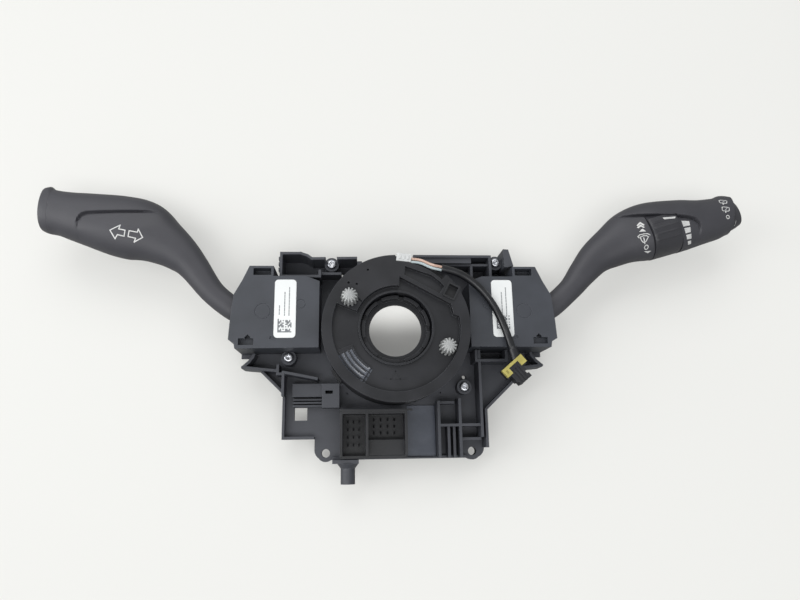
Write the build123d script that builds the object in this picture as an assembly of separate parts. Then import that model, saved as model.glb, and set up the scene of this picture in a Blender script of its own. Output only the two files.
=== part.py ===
"""Steering column switch: carrier, clock spring, two plug-in switch modules with their stalks.

The part lies on its back. +Z is the steering column's axis and points at the driver, +X is to the
right and +Y is up as the driver sees it. The origin is on the column's axis in the rear plane.
Units are millimetres and degrees.
"""
from build123d import *
import os
from math import atan2, cos, degrees, hypot, pi, radians, sin, tan

os.makedirs("parts", exist_ok=True)

# ---------------------------------------------------------------- heights along the column axis
REAR_Z = 0.0
REAR_BOX_DEPTH = 8.0
WEB_THICK = 2.5
SWITCH_BASE_THICK = 2.0
SWITCH_DEPTH = 25.5
STATOR_HEIGHT = 33.0
ROTOR_GAP = 0.5
RIM_DEPTH = 4.0

WEB_BACK = REAR_Z + REAR_BOX_DEPTH
WEB_FRONT = WEB_BACK + WEB_THICK
BASE_FRONT = WEB_FRONT + SWITCH_BASE_THICK
CASE_FRONT = WEB_FRONT + SWITCH_DEPTH
STATOR_TOP = WEB_FRONT + STATOR_HEIGHT
RIM_BACK = STATOR_TOP + ROTOR_GAP
RIM_FRONT = RIM_BACK + RIM_DEPTH

# ---------------------------------------------------------------- clearances
RUNNING_FIT = 0.05
LOOSE_GAP = 0.3
PAIR_GAP = 0.6

# ---------------------------------------------------------------- clock spring
ROTOR_RADIUS = 44.0
RIM_WIDTH = 6.0
DISH_WALL = 2.0
DISH_FLOOR = 1.8
DISH_DROP = 4.5
LIP_RADIUS = 22.6
LIP_WALL = 1.2
LIP_DROP = 2.4
COLUMN_BORE = 31.8
NECK_DROP = 13.0
NECK_THICK = 2.0
SLEEVE_RADIUS = 26.0
SLEEVE_WALL = 1.6
SLEEVE_FOOT = 4.0
CASTLE_RADIUS = 20.6
CASTLE_WALL = 2.0
CASTLE_HEIGHT = 5.6
CASTLE_COUNT = 9
CASTLE_SLOT = 3.4
STATOR_WALL = 1.8
STATOR_FLOOR = 2.0
STATOR_LID = 1.6
STATOR_LID_DROP = 2.4
STATOR_SETBACK = 0.6

DISH_FRONT = RIM_FRONT - DISH_DROP
DISH_BACK = DISH_FRONT - DISH_FLOOR
DISH_RADIUS = ROTOR_RADIUS - RIM_WIDTH
LIP_FRONT = RIM_FRONT - LIP_DROP
NECK_FRONT = RIM_FRONT - NECK_DROP
NECK_BACK = NECK_FRONT - NECK_THICK
BORE_RADIUS = COLUMN_BORE / 2
STATOR_RADIUS = ROTOR_RADIUS - STATOR_SETBACK
STATOR_INNER = STATOR_RADIUS - STATOR_WALL
STATOR_LID_FRONT = STATOR_TOP - STATOR_LID_DROP
FAR_FRONT = RIM_FRONT + 12.0
SLEEVE_HOLE = SLEEVE_RADIUS + PAIR_GAP

# raised sector of the rotor's face, as angles from +X
SECTOR_START = 86.0
SECTOR_END = 158.0
SECTOR_INNER = 25.0
SECTOR_HOLES = ((-16.8, 34.6, 0.7), (-28.2, 26.6, 0.8), (-23.4, 25.8, 0.7))
SECTOR_HOLE_DEPTH = 2.5
SECTOR_SLOT_PLACE = (-21.4, 15.8)
SECTOR_SLOT_TURN = -40.0
SECTOR_SLOT = (3.2, 1.2, 3.0)
PAD_START = 201.0
PAD_END = 238.0
PAD_INNER = 27.9
PAD_HEIGHT = 1.4
PAD_RIB_COUNT = 4
PAD_RIB_WIDTH = 0.9
PAD_RIB_HEIGHT = 0.6
WIRE_GAP_START = 46.0
WIRE_GAP_END = 90.2
PLUG_SHELF_START = 74.0
PLUG_SHELF_THICK = 1.5

# splined drive pins
PIN_CIRCLE = 32.6
PIN_ANGLES = (148.0, -21.2)
PIN_RADIUS = 5.2
PIN_TIP_RADIUS = 4.5
PIN_RIBS = 13
PIN_RIB_DEPTH = 1.0
PIN_HEIGHT = 8.6
PIN_DOME = 1.4
PIN_SHANK = 3.0

# outlet pocket beside the rotor's rim
OUTLET_DEPTH = 3.6
OUTLET_WALL = ((0.6, 31.4), (32.6, 13.8), (34.0, 7.4))
OUTLET_RIM_ANGLES = (9.0, 25.0, 40.0, 55.0, 70.0, SECTOR_START)
OUTLET_POCKET = ((5.0, 31.6), (5.6, 37.0), (21.0, 31.6), (30.2, 26.6), (26.0, 20.0))
SOCKET_LENGTH = 9.4
SOCKET_WIDTH = 7.8
SOCKET_WALL = 1.0
SOCKET_PROUD = 0.7
SOCKET_HOLE_DEPTH = 3.4
SOCKET_PLACE = (33.2, 21.4)
SOCKET_TURN = 63.0
PLUG_WIDTH = 8.8
PLUG_DEPTH = 4.8
PLUG_TURN = -6.0
PLUG_HEIGHT = 2.9
PLUG_PLACE = (4.9, 42.4)

# spiral ribbon
RIBBON_THICK = 0.5
RIBBON_PITCH = 2.8
RIBBON_HEIGHT = 20.0
RIBBON_TURNS = 4

# steering angle sensor
GEAR_MODULE = 1.0
RING_TEETH = 62
# one tooth: share of the pitch from its middle, and rise over the pitch circle in modules
TOOTH_SHAPE = ((-0.27, -0.95), (-0.21, 0.0), (-0.13, 0.8), (0.13, 0.8), (0.21, 0.0), (0.27, -0.95))
PINION_TEETH = (14, 15)
PINION_ANGLES = (-106.0, -74.0)
GEAR_THICK = 3.0
GEAR_Z = 3.0
PINION_SPINDLE = 1.5

# ---------------------------------------------------------------- rear box and electronics
REAR_RADIUS = 40.0
REAR_LEFT = -36.6
REAR_RIGHT = 42.6
REAR_BOTTOM = -68.0
REAR_WALL = 2.0
REAR_FLOOR = 1.5
REAR_SLOTS = (-24.0, 0.0, 24.0)
BOARD_THICK = 1.6
BOARD_LIFT = 0.8
BOARD_MARGIN = 1.5
BOARD_TOP = -49.5
# parts on the board: x, y, length, width and height
BOARD_CHIPS = ((-22.0, -57.0, 9.0, 9.0, 1.4), (4.0, -55.5, 6.0, 5.0, 1.6), (20.0, -58.0, 7.0, 4.0, 2.0))

# ---------------------------------------------------------------- switch modules, mirrored
CASE_WALL = 1.8
CASE_INNER_X = 46.2
CASE_OUTER_X = 99.8
CASE_BOTTOM = -10.2
CASE_TOP = 34.0
TAB_TOP = 40.4
TAB_LEFT = 88.8
TAB_RIGHT = 74.2
STALK_PORT_LOW = 1.0
STALK_PORT_HIGH = 29.0
PIVOT_X = 80.0
PIVOT_Y = 12.0
LABEL_X = 66.6
LABEL_Y = 13.6
LABEL_WIDTH = 13.0
LABEL_HEIGHT = 36.0
LABEL_CORNER = 2.2
LABEL_THICK = 0.2
POCKET_DEPTH = 7.0
TAB_WALL = 1.4
BEARING_WALL = 2.0
POST_RADIUS = 1.8
POST_HEIGHT = 1.8
CONTACT_TRACKS = (-1.0, 5.0, 19.0, 25.0)
# notch for the clip tool, from the outer side and the bottom, and its depth
CLIP_NOTCH = (15.0, 6.0, 1.6, 5.6, 4.0)
# shallow round marks on the case: x, y and radius
CASE_RINGS = ((57.3, 16.4, 3.0), (PIVOT_X, PIVOT_Y, 4.8))
RING_MARK_WIDTH = 0.5
RING_MARK_DEPTH = 0.3

# rocker frame and lever
STALK_Z = 23.3
ROCKER_LENGTH = 16.0
ROCKER_WIDTH = 16.0
ROCKER_WALL = 2.8
TRUNNION_RADIUS = 2.5
TRUNNION_DEPTH = 1.2
LEVER_SIZE = 8.0
LEVER_TAIL = 7.0
CROSS_PIN_RADIUS = 1.5
CAM_ARM = 9.0
CAM_THICK = 4.0
STALK_RISE = 2.5
SPRING_WIRE = 0.35
SPRING_RADIUS = 1.7
SPRING_TURNS = 4
DETENT_THICK = 0.4
DETENT_HEIGHT = 7.0
# bends of the leaf: distance from its back line and height over the pivot
DETENT_PATH = (
    (1.0, -9.0), (0.0, -5.6), (0.5, -3.6), (0.0, -1.6), (0.3, 0.0),
    (0.0, 1.6), (0.5, 3.6), (0.0, 5.6), (1.0, 9.0),
)

# ---------------------------------------------------------------- stalks
SHELL_WALL = 2.2
RECESS_DEPTH = 1.0
END_WALL = 3.0
# distance from the column axis, height, half width and half thickness of each section
LEFT_SECTIONS = (
    (94.5, 13.4, 6.2, 5.6),
    (99.8, 16.0, 7.2, 6.0),
    (112.7, 26.5, 7.5, 6.6),
    (125.1, 42.5, 9.3, 7.6),
    (132.5, 50.1, 11.4, 8.8),
    (142.5, 57.5, 14.5, 10.6),
    (155.9, 65.0, 19.3, 12.4),
    (170.7, 68.5, 19.5, 13.0),
    (190.3, 72.6, 16.5, 12.2),
    (204.0, 75.3, 14.3, 11.2),
    (211.5, 76.7, 14.2, 10.6),
)
RIGHT_SECTIONS = (
    (94.5, 13.6, 6.2, 5.6),
    (101.0, 17.1, 7.2, 6.0),
    (114.2, 28.7, 7.4, 6.6),
    (123.7, 39.9, 9.0, 7.4),
    (133.3, 50.1, 11.1, 8.8),
    (145.0, 57.7, 14.2, 11.0),
    (156.7, 64.0, 17.6, 13.6),
    (169.3, 67.7, 19.0, 15.2),
    (188.8, 71.2, 17.4, 14.4),
    (206.2, 74.3, 14.8, 12.4),
    (223.0, 78.5, 12.9, 9.8),
)
# outlines of the shallow recess in each stalk's front
LEFT_RECESS = (
    (150.0, 40.0), (150.0, 75.7), (170.3, 73.9), (189.2, 73.3), (192.9, 70.2), (194.0, 64.0), (194.0, 40.0))
RIGHT_RECESS = (
    (152.0, 40.0), (152.0, 73.8), (160.0, 74.2), (190.9, 73.2), (196.3, 70.2), (198.0, 66.0), (198.0, 40.0))
LEFT_LEVER_STATIONS = 11
RIGHT_LEVER_STATIONS = 12
RING_SEAT_GAP = 1.1
CAP_LENGTH = 6.0
CAP_END_WIDTH = 13.4
CAP_END_THICK = 9.8
CAP_CORNER = 1.6
RING_PLACE = (175.0, 66.1)
RING_TURN = 15.5
RING_RADIUS = 16.0
RING_LENGTH = 19.0
RING_WALL = 3.0
RING_RIDGES = 5
RING_RIDGE_STEP = 14.0
RING_SIDE_GAP = 0.4
KNOB_TURN = 8.0
KNOB_LENGTH = 8.2
KNOB_WIDTH = 10.6
KNOB_THICK = 8.8
KNOB_END_WIDTH = 6.6
KNOB_END_THICK = 5.8
KNOB_CORNER = 1.4
SPINDLE_RADIUS = 4.0
SPINDLE_LENGTH = 6.0

# ---------------------------------------------------------------- pigtail
SLEEVE_TUBE = 4.6
WIRE_TUBE = 1.6
WIRE_PITCH = 1.9
WIRE_RUN = 6.2
SLEEVE_ROUTE = (
    (27.8, 35.9, 46.8),
    (35.6, 34.7, 45.4),
    (43.6, 31.6, 42.9),
    (51.2, 26.0, 40.7),
    (58.2, 18.4, 39.4),
    (63.4, 9.0, 39.0),
    (66.4, 0.4, 39.8),
    (68.0, -6.2, 41.1),
)
CABLE_TURN = -74.0
CABLE_LAST_RUN = 5.5
CONNECTOR_TURN = -50.0
BOOT_LENGTH = 7.0
BOOT_RADIUS = 3.1
CONNECTOR_LENGTH = 13.6
CONNECTOR_WIDTH = 9.4
CONNECTOR_THICK = 8.0
CONNECTOR_OFFSET = 5.4
CONNECTOR_SHOULDER = 6.5
LOCK_BAR = 1.7
LOCK_OFFSET = 4.8
LOCK_WIDTH = 15.4
LOCK_LUG = 5.4
LOCK_LUG_WIDTH = 4.2
LOCK_THICK = 3.0

# ---------------------------------------------------------------- carrier and fasteners
WALL = 1.6
EAR_SPACING = 91.0
EAR_CENTRE_X = 3.0
EAR_Y = -72.0
EAR_HOLE = 5.2
EAR_RADIUS = 5.2
SCREW_PLACES = (
    (-39.5, 46.0, 20.0),
    (-65.6, -14.0, 19.0),
    (66.6, 46.8, 22.0),
    (43.7, -33.0, 19.0),
)
SCREW_HEAD_RADIUS = 3.1
SCREW_HEAD_HEIGHT = 2.3
SCREW_SHANK = 1.45
SCREW_LENGTH = 8.0
SCREW_BOSS = 4.6
SHROUD_BOX = (-33.5, 7.0, -75.4, -47.6)
SHROUD_TOP = 27.0
SHROUD_FLOOR = 2.0
SHROUD_SPLIT = 15.4
SHROUD_STEP = (9.4, 6.0)
SHROUD_NOTCH = 19.0
BLADE_HEIGHT = 6.0
BLADE_HALF = (0.3, 0.8)
# blades: first x and y from the shroud's upper left corner, pitches, columns and rows
BLADE_GRIDS = ((4.6, 6.0, 3.4, 4.6, 3, 4), (20.6, 4.8, 4.2, 4.0, 4, 3))
FILM_BOX = (7.6, 25.8, -75.0, -43.4)
FILM_THICK = 1.2
SPIGOT_X = -28.8
SPIGOT_RADIUS = 4.35
SPIGOT_BORE = 2.9
SPIGOT_BORE_DEPTH = 13.0
SPIGOT_END = -90.3
SPIGOT_Z = 14.5
# flange: reach to the left, reach to the right, thickness and half height
SPIGOT_FLANGE = (9.3, 6.6, 2.2, 5.2)
SPIGOT_TAPER = (2.2, 2.8)
SQUARE_HOLE = (-62.0, -54.2, -52.0, -44.2)
PLATE_LEFT = -49.4
PLATE_RIGHT = 56.0
PLATE_BOTTOM = -76.0
EAR_CORNER = 6.0
EAR_PAD = 4.0
ROTOR_ROOM = 0.4
# flat areas of the web: left, right, bottom and top
WEB_AREAS = (
    (-96.0, 96.0, CASE_BOTTOM - 3.0, CASE_TOP),
    (-71.4, -20.0, 30.0, 51.4),
    (12.5, 76.0, 30.0, 50.4),
    (30.0, 56.0, -40.0, -10.0),
    (-69.0, -30.0, -63.5, -10.0),
)
WEB_RIGHT_SIDE = ((55, -10), (84, -10), (84, -21.5), (56.6, -47.2), (56.6, -70), (51, -70), (51, -10))
WEB_LEFT_SIDE = ((-69, -10), (-69, -35.2), (-82, -22.6), (-82, -10))
WEB_WING = ((84, -10), (87, -13.2), (89.4, -16.8), (94, -19.4), (93.4, -20.8), (70, -23.2), (70, -10))
# rows of ribs on the web: height of their front edge, then their corners
WING_RIBS = (
    (22.0, ((93.0, -20.0), (73.0, -22.2))),
    (22.0, ((93.0, -20.0), (89.2, -16.6), (87.0, -13.6), (86.6, CASE_BOTTOM - 2.2))),
)
UPPER_LEFT_RIBS = (
    (30.0, ((-70.6, 35.6), (-70.6, 50.6), (-58.5, 50.6), (-54.5, 49.2), (-51.5, 47.2), (-24.0, 47.6))),
    (30.0, ((-70.6, 35.6), (-46.5, 35.6), (-46.5, 39.0))),
    (24.0, ((-46.5, 39.0), (-34.0, 39.0))),
)
UPPER_RIGHT_RIBS = (
    (28.0, ((13.3, 48.0), (13.3, 49.6), (62.0, 49.6), (62.0, 36.6))),
    (24.0, ((24.0, 45.0), (62.0, 45.0))),
    (24.0, ((50.5, 36.6), (50.5, 45.0))),
)
UPPER_RIGHT_LID = (14.0, 50.0, 45.4, 49.0, 25.0, 26.6)
UPPER_RIGHT_POST = ((70.6, 41.6), (72.2, 41.6), (76.4, 42.4), (73.6, 53.4), (70.2, 53.6))
POST_TOP = 31.0
LOWER_LEFT_RIBS = (
    (16.0, ((-68.2, -24.0), (-68.2, -62.7), (-50.2, -62.7))),
    (24.0, ((-68.2, -24.0), (-68.2, -37.0))),
    (24.0, ((-68.2, -23.4), (-48.0, -27.4))),
    (18.0, ((-81.4, -22.8), (-69.2, -34.8))),
)
LOWER_RIGHT_RIBS = (
    (26.0, ((52.6, -11.6), (52.6, -63.0))),
    (27.0, ((50.6, -11.6), (50.6, -17.4), (69.6, -17.4), (69.6, -11.6))),
    (24.0, ((55.8, -47.8), (55.8, -69.2))),
    (18.0, ((83.4, -22.0), (56.8, -46.9))),
    (24.0, ((39.6, -41.0), (39.6, -74.8))),
    (24.0, ((26.6, -42.5), (26.6, -74.8))),
    (22.0, ((32.6, -56.4), (32.6, -74.8))),
    (20.0, ((36.2, -56.4), (36.2, -74.8))),
    (24.0, ((26.6, -56.4), (52.0, -56.4))),
    (20.0, ((39.6, -64.6), (52.0, -64.6))),
    (20.0, ((26.6, -42.5), (36.0, -42.5))),
)
LOWER_EDGE_RIB = ((14.0, ((-42.6, -75.2), (49.2, -75.2))),)
# solid blocks on the web: left, right, bottom, top and height of the front
SCOOP_TEETH = (
    (-72.6, -71.0, 40.0, 42.2, 26.0),
    (-72.6, -71.0, 43.6, 45.8, 26.0),
    (-72.6, -71.0, 47.2, 49.4, 26.0),
)
LOWER_LEFT_BLOCKS = (
    (-63.0, -44.6, -38.0, -30.0, 17.5),
    (-62.8, -44.6, -40.1, -39.1, 15.0),
    (-62.8, -44.6, -42.0, -41.0, 15.0),
    (-62.8, -44.6, -43.9, -42.9, 15.0),
    (-72.6, -71.0, -25.0, -18.4, 22.0),
    (-72.6, -66.6, -25.0, -23.4, 22.0),
    (-44.6, -34.0, -45.0, -30.5, 22.0),
)
CLIP_SLOT = (-42.6, -38.0, -36.6, -34.6, 14.0, 23.0)
# small drilled holes of the web: x, y and radius
WEB_HOLES = ((-33.4, 41.4, 1.3), (45.0, -26.0, 1.2))


# ---------------------------------------------------------------- small helpers
def block(x0, x1, y0, y1, z0, z1):
    """A box between two corners."""
    return Pos((x0 + x1) / 2, (y0 + y1) / 2, (z0 + z1) / 2) * Box(x1 - x0, y1 - y0, z1 - z0)


def disc(x, y, radius, z0, z1):
    """A cylinder along Z."""
    return Pos(x, y, (z0 + z1) / 2) * Cylinder(radius, z1 - z0)


def tube(x, y, outer, inner, z0, z1):
    """A round tube along Z."""
    return disc(x, y, outer, z0, z1) - disc(x, y, inner, z0 - 1, z1 + 1)


def prism(points, z0, z1):
    """An upright prism on a polygon."""
    return Pos(0, 0, z0) * extrude(make_face(Polyline(*points, close=True)), amount=z1 - z0)


def polar(radius, angle):
    """Point at a radius and an angle in degrees."""
    return (radius * cos(radians(angle)), radius * sin(radians(angle)))


def sector(inner, outer, start, end, z0, z1):
    """A piece of a ring between two angles less than 180 degrees apart."""
    reach = outer * 3
    middle = (start + end) / 2
    wedge = prism([(0, 0), polar(reach, start), polar(reach, middle), polar(reach, end)], z0, z1)
    return tube(0, 0, outer, inner, z0, z1) & wedge


def mirrored(shape, side):
    """The shape itself on the right, its mirror image on the left."""
    return shape if side > 0 else mirror(shape, about=Plane.YZ)


def write(shape, name):
    """Write one sub-part."""
    export_step(shape, "parts/" + name + ".step")


# ---------------------------------------------------------------- clock spring
def outlet_outline():
    """Raised land round the outlet, between its slanted wall and the rim."""
    return list(OUTLET_WALL) + [polar(DISH_RADIUS + 0.5, angle) for angle in OUTLET_RIM_ANGLES]


def rotor_disc():
    """Rotor face: rim, dish, raised sector, outlet land and ribbed pad."""
    face = tube(0, 0, ROTOR_RADIUS, DISH_RADIUS, RIM_BACK, RIM_FRONT)
    face += tube(0, 0, DISH_RADIUS + DISH_WALL, DISH_RADIUS, DISH_BACK, RIM_FRONT)
    face += tube(0, 0, DISH_RADIUS + DISH_WALL, LIP_RADIUS, DISH_BACK, DISH_FRONT)
    face += sector(SECTOR_INNER, DISH_RADIUS + 0.5, SECTOR_START, SECTOR_END, DISH_FRONT, RIM_FRONT)
    land = prism(outlet_outline(), DISH_FRONT, RIM_FRONT)
    pocket_floor = RIM_FRONT - OUTLET_DEPTH
    land -= prism(OUTLET_POCKET, pocket_floor, RIM_FRONT + 1)
    face += land
    face += pad()
    # the rim gives way to the wires, and keeps a thin shelf under their plug
    inner, outer, front = DISH_RADIUS + DISH_WALL, ROTOR_RADIUS + 1, RIM_FRONT + 1
    face -= sector(inner, outer, WIRE_GAP_START, PLUG_SHELF_START, RIM_BACK - 1, front)
    face -= sector(inner, outer, PLUG_SHELF_START, WIRE_GAP_END, RIM_BACK + PLUG_SHELF_THICK, front)
    for x, y, radius in SECTOR_HOLES:
        face -= disc(x, y, radius, RIM_FRONT - SECTOR_HOLE_DEPTH, front)
    face -= Pos(*SECTOR_SLOT_PLACE, RIM_FRONT) * Rot(0, 0, SECTOR_SLOT_TURN) * Box(*SECTOR_SLOT)
    for angle in PIN_ANGLES:
        x, y = polar(PIN_CIRCLE, angle)
        face -= disc(x, y, PIN_SHANK, DISH_BACK - 1, RIM_FRONT + 1)
    face -= socket_body(0.0)
    return face


def pad():
    """Ribbed pad on the dish's floor."""
    outer = DISH_RADIUS + 0.2
    shape = sector(PAD_INNER, outer, PAD_START, PAD_END, DISH_FRONT, DISH_FRONT + PAD_HEIGHT)
    step = (outer - PAD_INNER) / PAD_RIB_COUNT
    for index in range(PAD_RIB_COUNT):
        inner = PAD_INNER + step * (index + 0.25)
        top = DISH_FRONT + PAD_HEIGHT + PAD_RIB_HEIGHT
        shape += sector(inner, inner + PAD_RIB_WIDTH, PAD_START + 3, PAD_END - 3, DISH_FRONT, top)
    return shape


def rotor_hub():
    """Hub: lip, castellated collar, neck with the column bore, and long sleeve."""
    hub = tube(0, 0, LIP_RADIUS, LIP_RADIUS - LIP_WALL, NECK_BACK, LIP_FRONT)
    hub += tube(0, 0, SLEEVE_RADIUS, BORE_RADIUS, NECK_BACK, NECK_FRONT)
    hub += tube(0, 0, SLEEVE_RADIUS, SLEEVE_RADIUS - SLEEVE_WALL, SLEEVE_FOOT, NECK_FRONT)
    hub += tube(0, 0, SLEEVE_RADIUS, LIP_RADIUS - LIP_WALL, DISH_BACK - 1.4, DISH_BACK)
    collar = tube(0, 0, CASTLE_RADIUS, CASTLE_RADIUS - CASTLE_WALL, NECK_FRONT, NECK_FRONT + CASTLE_HEIGHT)
    for index in range(CASTLE_COUNT):
        middle = Pos(CASTLE_RADIUS - CASTLE_WALL / 2, 0, NECK_FRONT + CASTLE_HEIGHT)
        slot = middle * Box(2 * CASTLE_WALL + 1, CASTLE_SLOT, CASTLE_HEIGHT)
        collar -= Rot(0, 0, index * 360 / CASTLE_COUNT) * slot
    return hub + collar


def drive_pin(x, y, seat):
    """White splined pin with a domed tip."""
    points = []
    for index in range(PIN_RIBS):
        for share, depth in ((0.0, 0.0), (0.30, 0.0), (0.5, PIN_RIB_DEPTH), (0.80, PIN_RIB_DEPTH)):
            points.append(polar(PIN_RADIUS - depth, (index + share) * 360 / PIN_RIBS))
    star = extrude(make_face(Polyline(*points, close=True)), amount=PIN_HEIGHT)
    side_y = PIN_HEIGHT - PIN_DOME
    profile = Polyline((0, 0), (PIN_RADIUS + 0.1, 0), (PIN_TIP_RADIUS, side_y),
                       (PIN_TIP_RADIUS - 1.2, PIN_HEIGHT - 0.3), (PIN_TIP_RADIUS - 2.4, PIN_HEIGHT),
                       (0, PIN_HEIGHT), close=True)
    dome = revolve(Plane.XZ * make_face(profile), axis=Axis.Z)
    pin = Pos(x, y, seat) * (star & dome)
    return pin + disc(x, y, PIN_SHANK, DISH_BACK, seat)


def drive_pins():
    """Both pins: the first stands on the raised sector, the second on the dish's floor."""
    seats = (RIM_FRONT, DISH_FRONT)
    return Compound([drive_pin(*polar(PIN_CIRCLE, angle), seat) for angle, seat in zip(PIN_ANGLES, seats)])


def socket_body(grow):
    """Outside of the outlet socket."""
    x, y = SOCKET_PLACE
    bottom = RIM_FRONT - SOCKET_HOLE_DEPTH - 0.8
    height = RIM_FRONT + SOCKET_PROUD - bottom
    size_x = SOCKET_WIDTH + 2 * grow
    size_y = SOCKET_LENGTH + 2 * grow
    return Pos(x, y, bottom + height / 2) * Rot(0, 0, SOCKET_TURN - 90) * Box(size_x, size_y, height)


def outlet_socket():
    """Framed rectangular socket set into the outlet land."""
    x, y = SOCKET_PLACE
    hole = Pos(x, y, RIM_FRONT) * Rot(0, 0, SOCKET_TURN - 90) * Box(
        SOCKET_WIDTH - 2 * SOCKET_WALL, SOCKET_LENGTH - 2 * SOCKET_WALL, 2 * SOCKET_HOLE_DEPTH)
    return socket_body(0.0) - hole


def outlet_plug():
    """White plug of the wires, on the thin shelf of the rim."""
    x, y = PLUG_PLACE
    seat = RIM_BACK + PLUG_SHELF_THICK
    turn = Rot(0, 0, PLUG_TURN)
    plug = Pos(x, y, seat + PLUG_HEIGHT / 2) * turn * Box(PLUG_WIDTH, PLUG_DEPTH, PLUG_HEIGHT)
    plug -= disc(0, 0, DISH_RADIUS + DISH_WALL, DISH_BACK, RIM_FRONT + 5)
    for shift in (-2.4, 0.0, 2.4):
        plug += Pos(x + shift, y - shift * 0.1, seat + PLUG_HEIGHT) * turn * Box(1.2, PLUG_DEPTH * 0.5, 0.8)
    return plug & disc(0, 0, ROTOR_RADIUS + 3, DISH_BACK, RIM_FRONT + 5)


def stator_drum():
    """Drum that holds the coiled ribbon."""
    drum = tube(0, 0, STATOR_RADIUS, STATOR_INNER, WEB_FRONT, STATOR_TOP)
    drum += tube(0, 0, STATOR_RADIUS, SLEEVE_HOLE, WEB_FRONT, WEB_FRONT + STATOR_FLOOR)
    for angle in (20.0, 100.0, 215.0, 325.0):
        x, y = polar(STATOR_RADIUS, angle)
        foot = Pos(x, y, WEB_FRONT + 2.0) * Rot(0, 0, angle) * Box(3.2, 9.0, 4.0)
        drum += foot - disc(0, 0, STATOR_INNER + 0.2, WEB_FRONT - 1, STATOR_TOP)
    return drum


def stator_lid():
    """Ring that closes the drum under the rotor."""
    back = STATOR_LID_FRONT - STATOR_LID
    return tube(0, 0, STATOR_INNER, SLEEVE_HOLE, back, STATOR_LID_FRONT)


def ribbon_coil():
    """Flat cable wound between the hub and the drum, in half turns."""
    inner = SLEEVE_RADIUS + 1.6
    bottom = WEB_FRONT + STATOR_FLOOR
    coil = None
    for index in range(2 * RIBBON_TURNS):
        upper = index % 2 == 0
        radius = inner + index * RIBBON_PITCH / 2
        centre = 0.0 if upper else RIBBON_PITCH / 2
        outer, hollow = radius + RIBBON_THICK / 2, radius - RIBBON_THICK / 2
        turn = tube(centre, 0, outer, hollow, bottom, bottom + RIBBON_HEIGHT)
        reach = STATOR_RADIUS * 2
        low, high = (0, reach) if upper else (-reach, 0)
        half = block(-reach, reach, low, high, 0, RIM_FRONT)
        part = turn & half
        coil = part if coil is None else coil + part
    return coil


# ---------------------------------------------------------------- angle sensor
def toothed(teeth, turn):
    """Gear outline as a face, with the middle of a tooth at the given angle."""
    pitch_radius = teeth * GEAR_MODULE / 2
    step = 360 / teeth
    points = []
    for index in range(teeth):
        for share, rise in TOOTH_SHAPE:
            points.append(polar(pitch_radius + rise * GEAR_MODULE, turn + (index + share) * step))
    return make_face(Polyline(*points, close=True))


def sensor_ring():
    """Ring gear on the foot of the hub's sleeve."""
    ring = Pos(0, 0, GEAR_Z) * extrude(toothed(RING_TEETH, 0.0), amount=GEAR_THICK)
    ring -= disc(0, 0, SLEEVE_RADIUS - SLEEVE_WALL, 0, RIM_FRONT)
    return ring - tube(0, 0, SLEEVE_RADIUS, SLEEVE_RADIUS - SLEEVE_WALL - 1, SLEEVE_FOOT, RIM_FRONT)


def pinion_place(index):
    """Centre of a measuring gear, one centre distance from the column axis."""
    distance = (RING_TEETH + PINION_TEETH[index]) * GEAR_MODULE / 2
    return polar(distance, PINION_ANGLES[index])


def measuring_gear(index):
    """Measuring gear with its magnet seat, with a gap facing the ring's nearest tooth."""
    teeth = PINION_TEETH[index]
    facing = PINION_ANGLES[index]
    ring_phase = (facing % (360 / RING_TEETH)) / (360 / RING_TEETH)
    turn = facing + 180 + (0.5 + ring_phase) * 360 / teeth
    x, y = pinion_place(index)
    gear = Pos(x, y, GEAR_Z) * extrude(toothed(teeth, turn), amount=GEAR_THICK)
    gear -= disc(x, y, PINION_SPINDLE + RUNNING_FIT, 0, GEAR_Z + GEAR_THICK + 1)
    return gear


def rear_outline(inset):
    """Outline of the rear box as a face, moved inwards by a distance."""
    x0, x1, y0 = REAR_LEFT + inset, REAR_RIGHT - inset, REAR_BOTTOM + inset
    lower = Pos((x0 + x1) / 2, (y0 - 20) / 2) * Rectangle(x1 - x0, -20 - y0)
    return Circle(REAR_RADIUS - inset) + lower


def rear_box():
    """Rear housing of the angle sensor and the electronics."""
    box = extrude(rear_outline(0.0), amount=REAR_BOX_DEPTH)
    box -= Pos(0, 0, REAR_FLOOR) * extrude(rear_outline(REAR_WALL), amount=REAR_BOX_DEPTH)
    box -= disc(0, 0, SLEEVE_RADIUS - SLEEVE_WALL, -1, REAR_BOX_DEPTH)
    for index in range(len(PINION_TEETH)):
        x, y = pinion_place(index)
        box += disc(x, y, PINION_SPINDLE + 1.2, REAR_FLOOR, GEAR_Z - 0.2)
        box += disc(x, y, PINION_SPINDLE, REAR_FLOOR, GEAR_Z + GEAR_THICK)
    for x in (REAR_LEFT + 8, REAR_RIGHT - 8):
        for y in (BOARD_TOP - 4, REAR_BOTTOM + 6):
            box += disc(x, y, 2.0, REAR_FLOOR, REAR_FLOOR + BOARD_LIFT)
    for x in REAR_SLOTS:
        box -= block(x - 8, x + 8, REAR_BOTTOM - 1, REAR_BOTTOM + 1.0, REAR_Z + 2.5, REAR_Z + 5.0)
    return box


def main_board():
    """Circuit board in the lower half of the rear box."""
    seat = REAR_FLOOR + BOARD_LIFT
    margin = REAR_WALL + BOARD_MARGIN
    board = block(REAR_LEFT + margin, REAR_RIGHT - margin, REAR_BOTTOM + margin, BOARD_TOP,
                  seat, seat + BOARD_THICK)
    top = seat + BOARD_THICK
    for x, y, length, width, height in BOARD_CHIPS:
        board += block(x - length / 2, x + length / 2, y - width / 2, y + width / 2, top, top + height)
    return board


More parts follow.
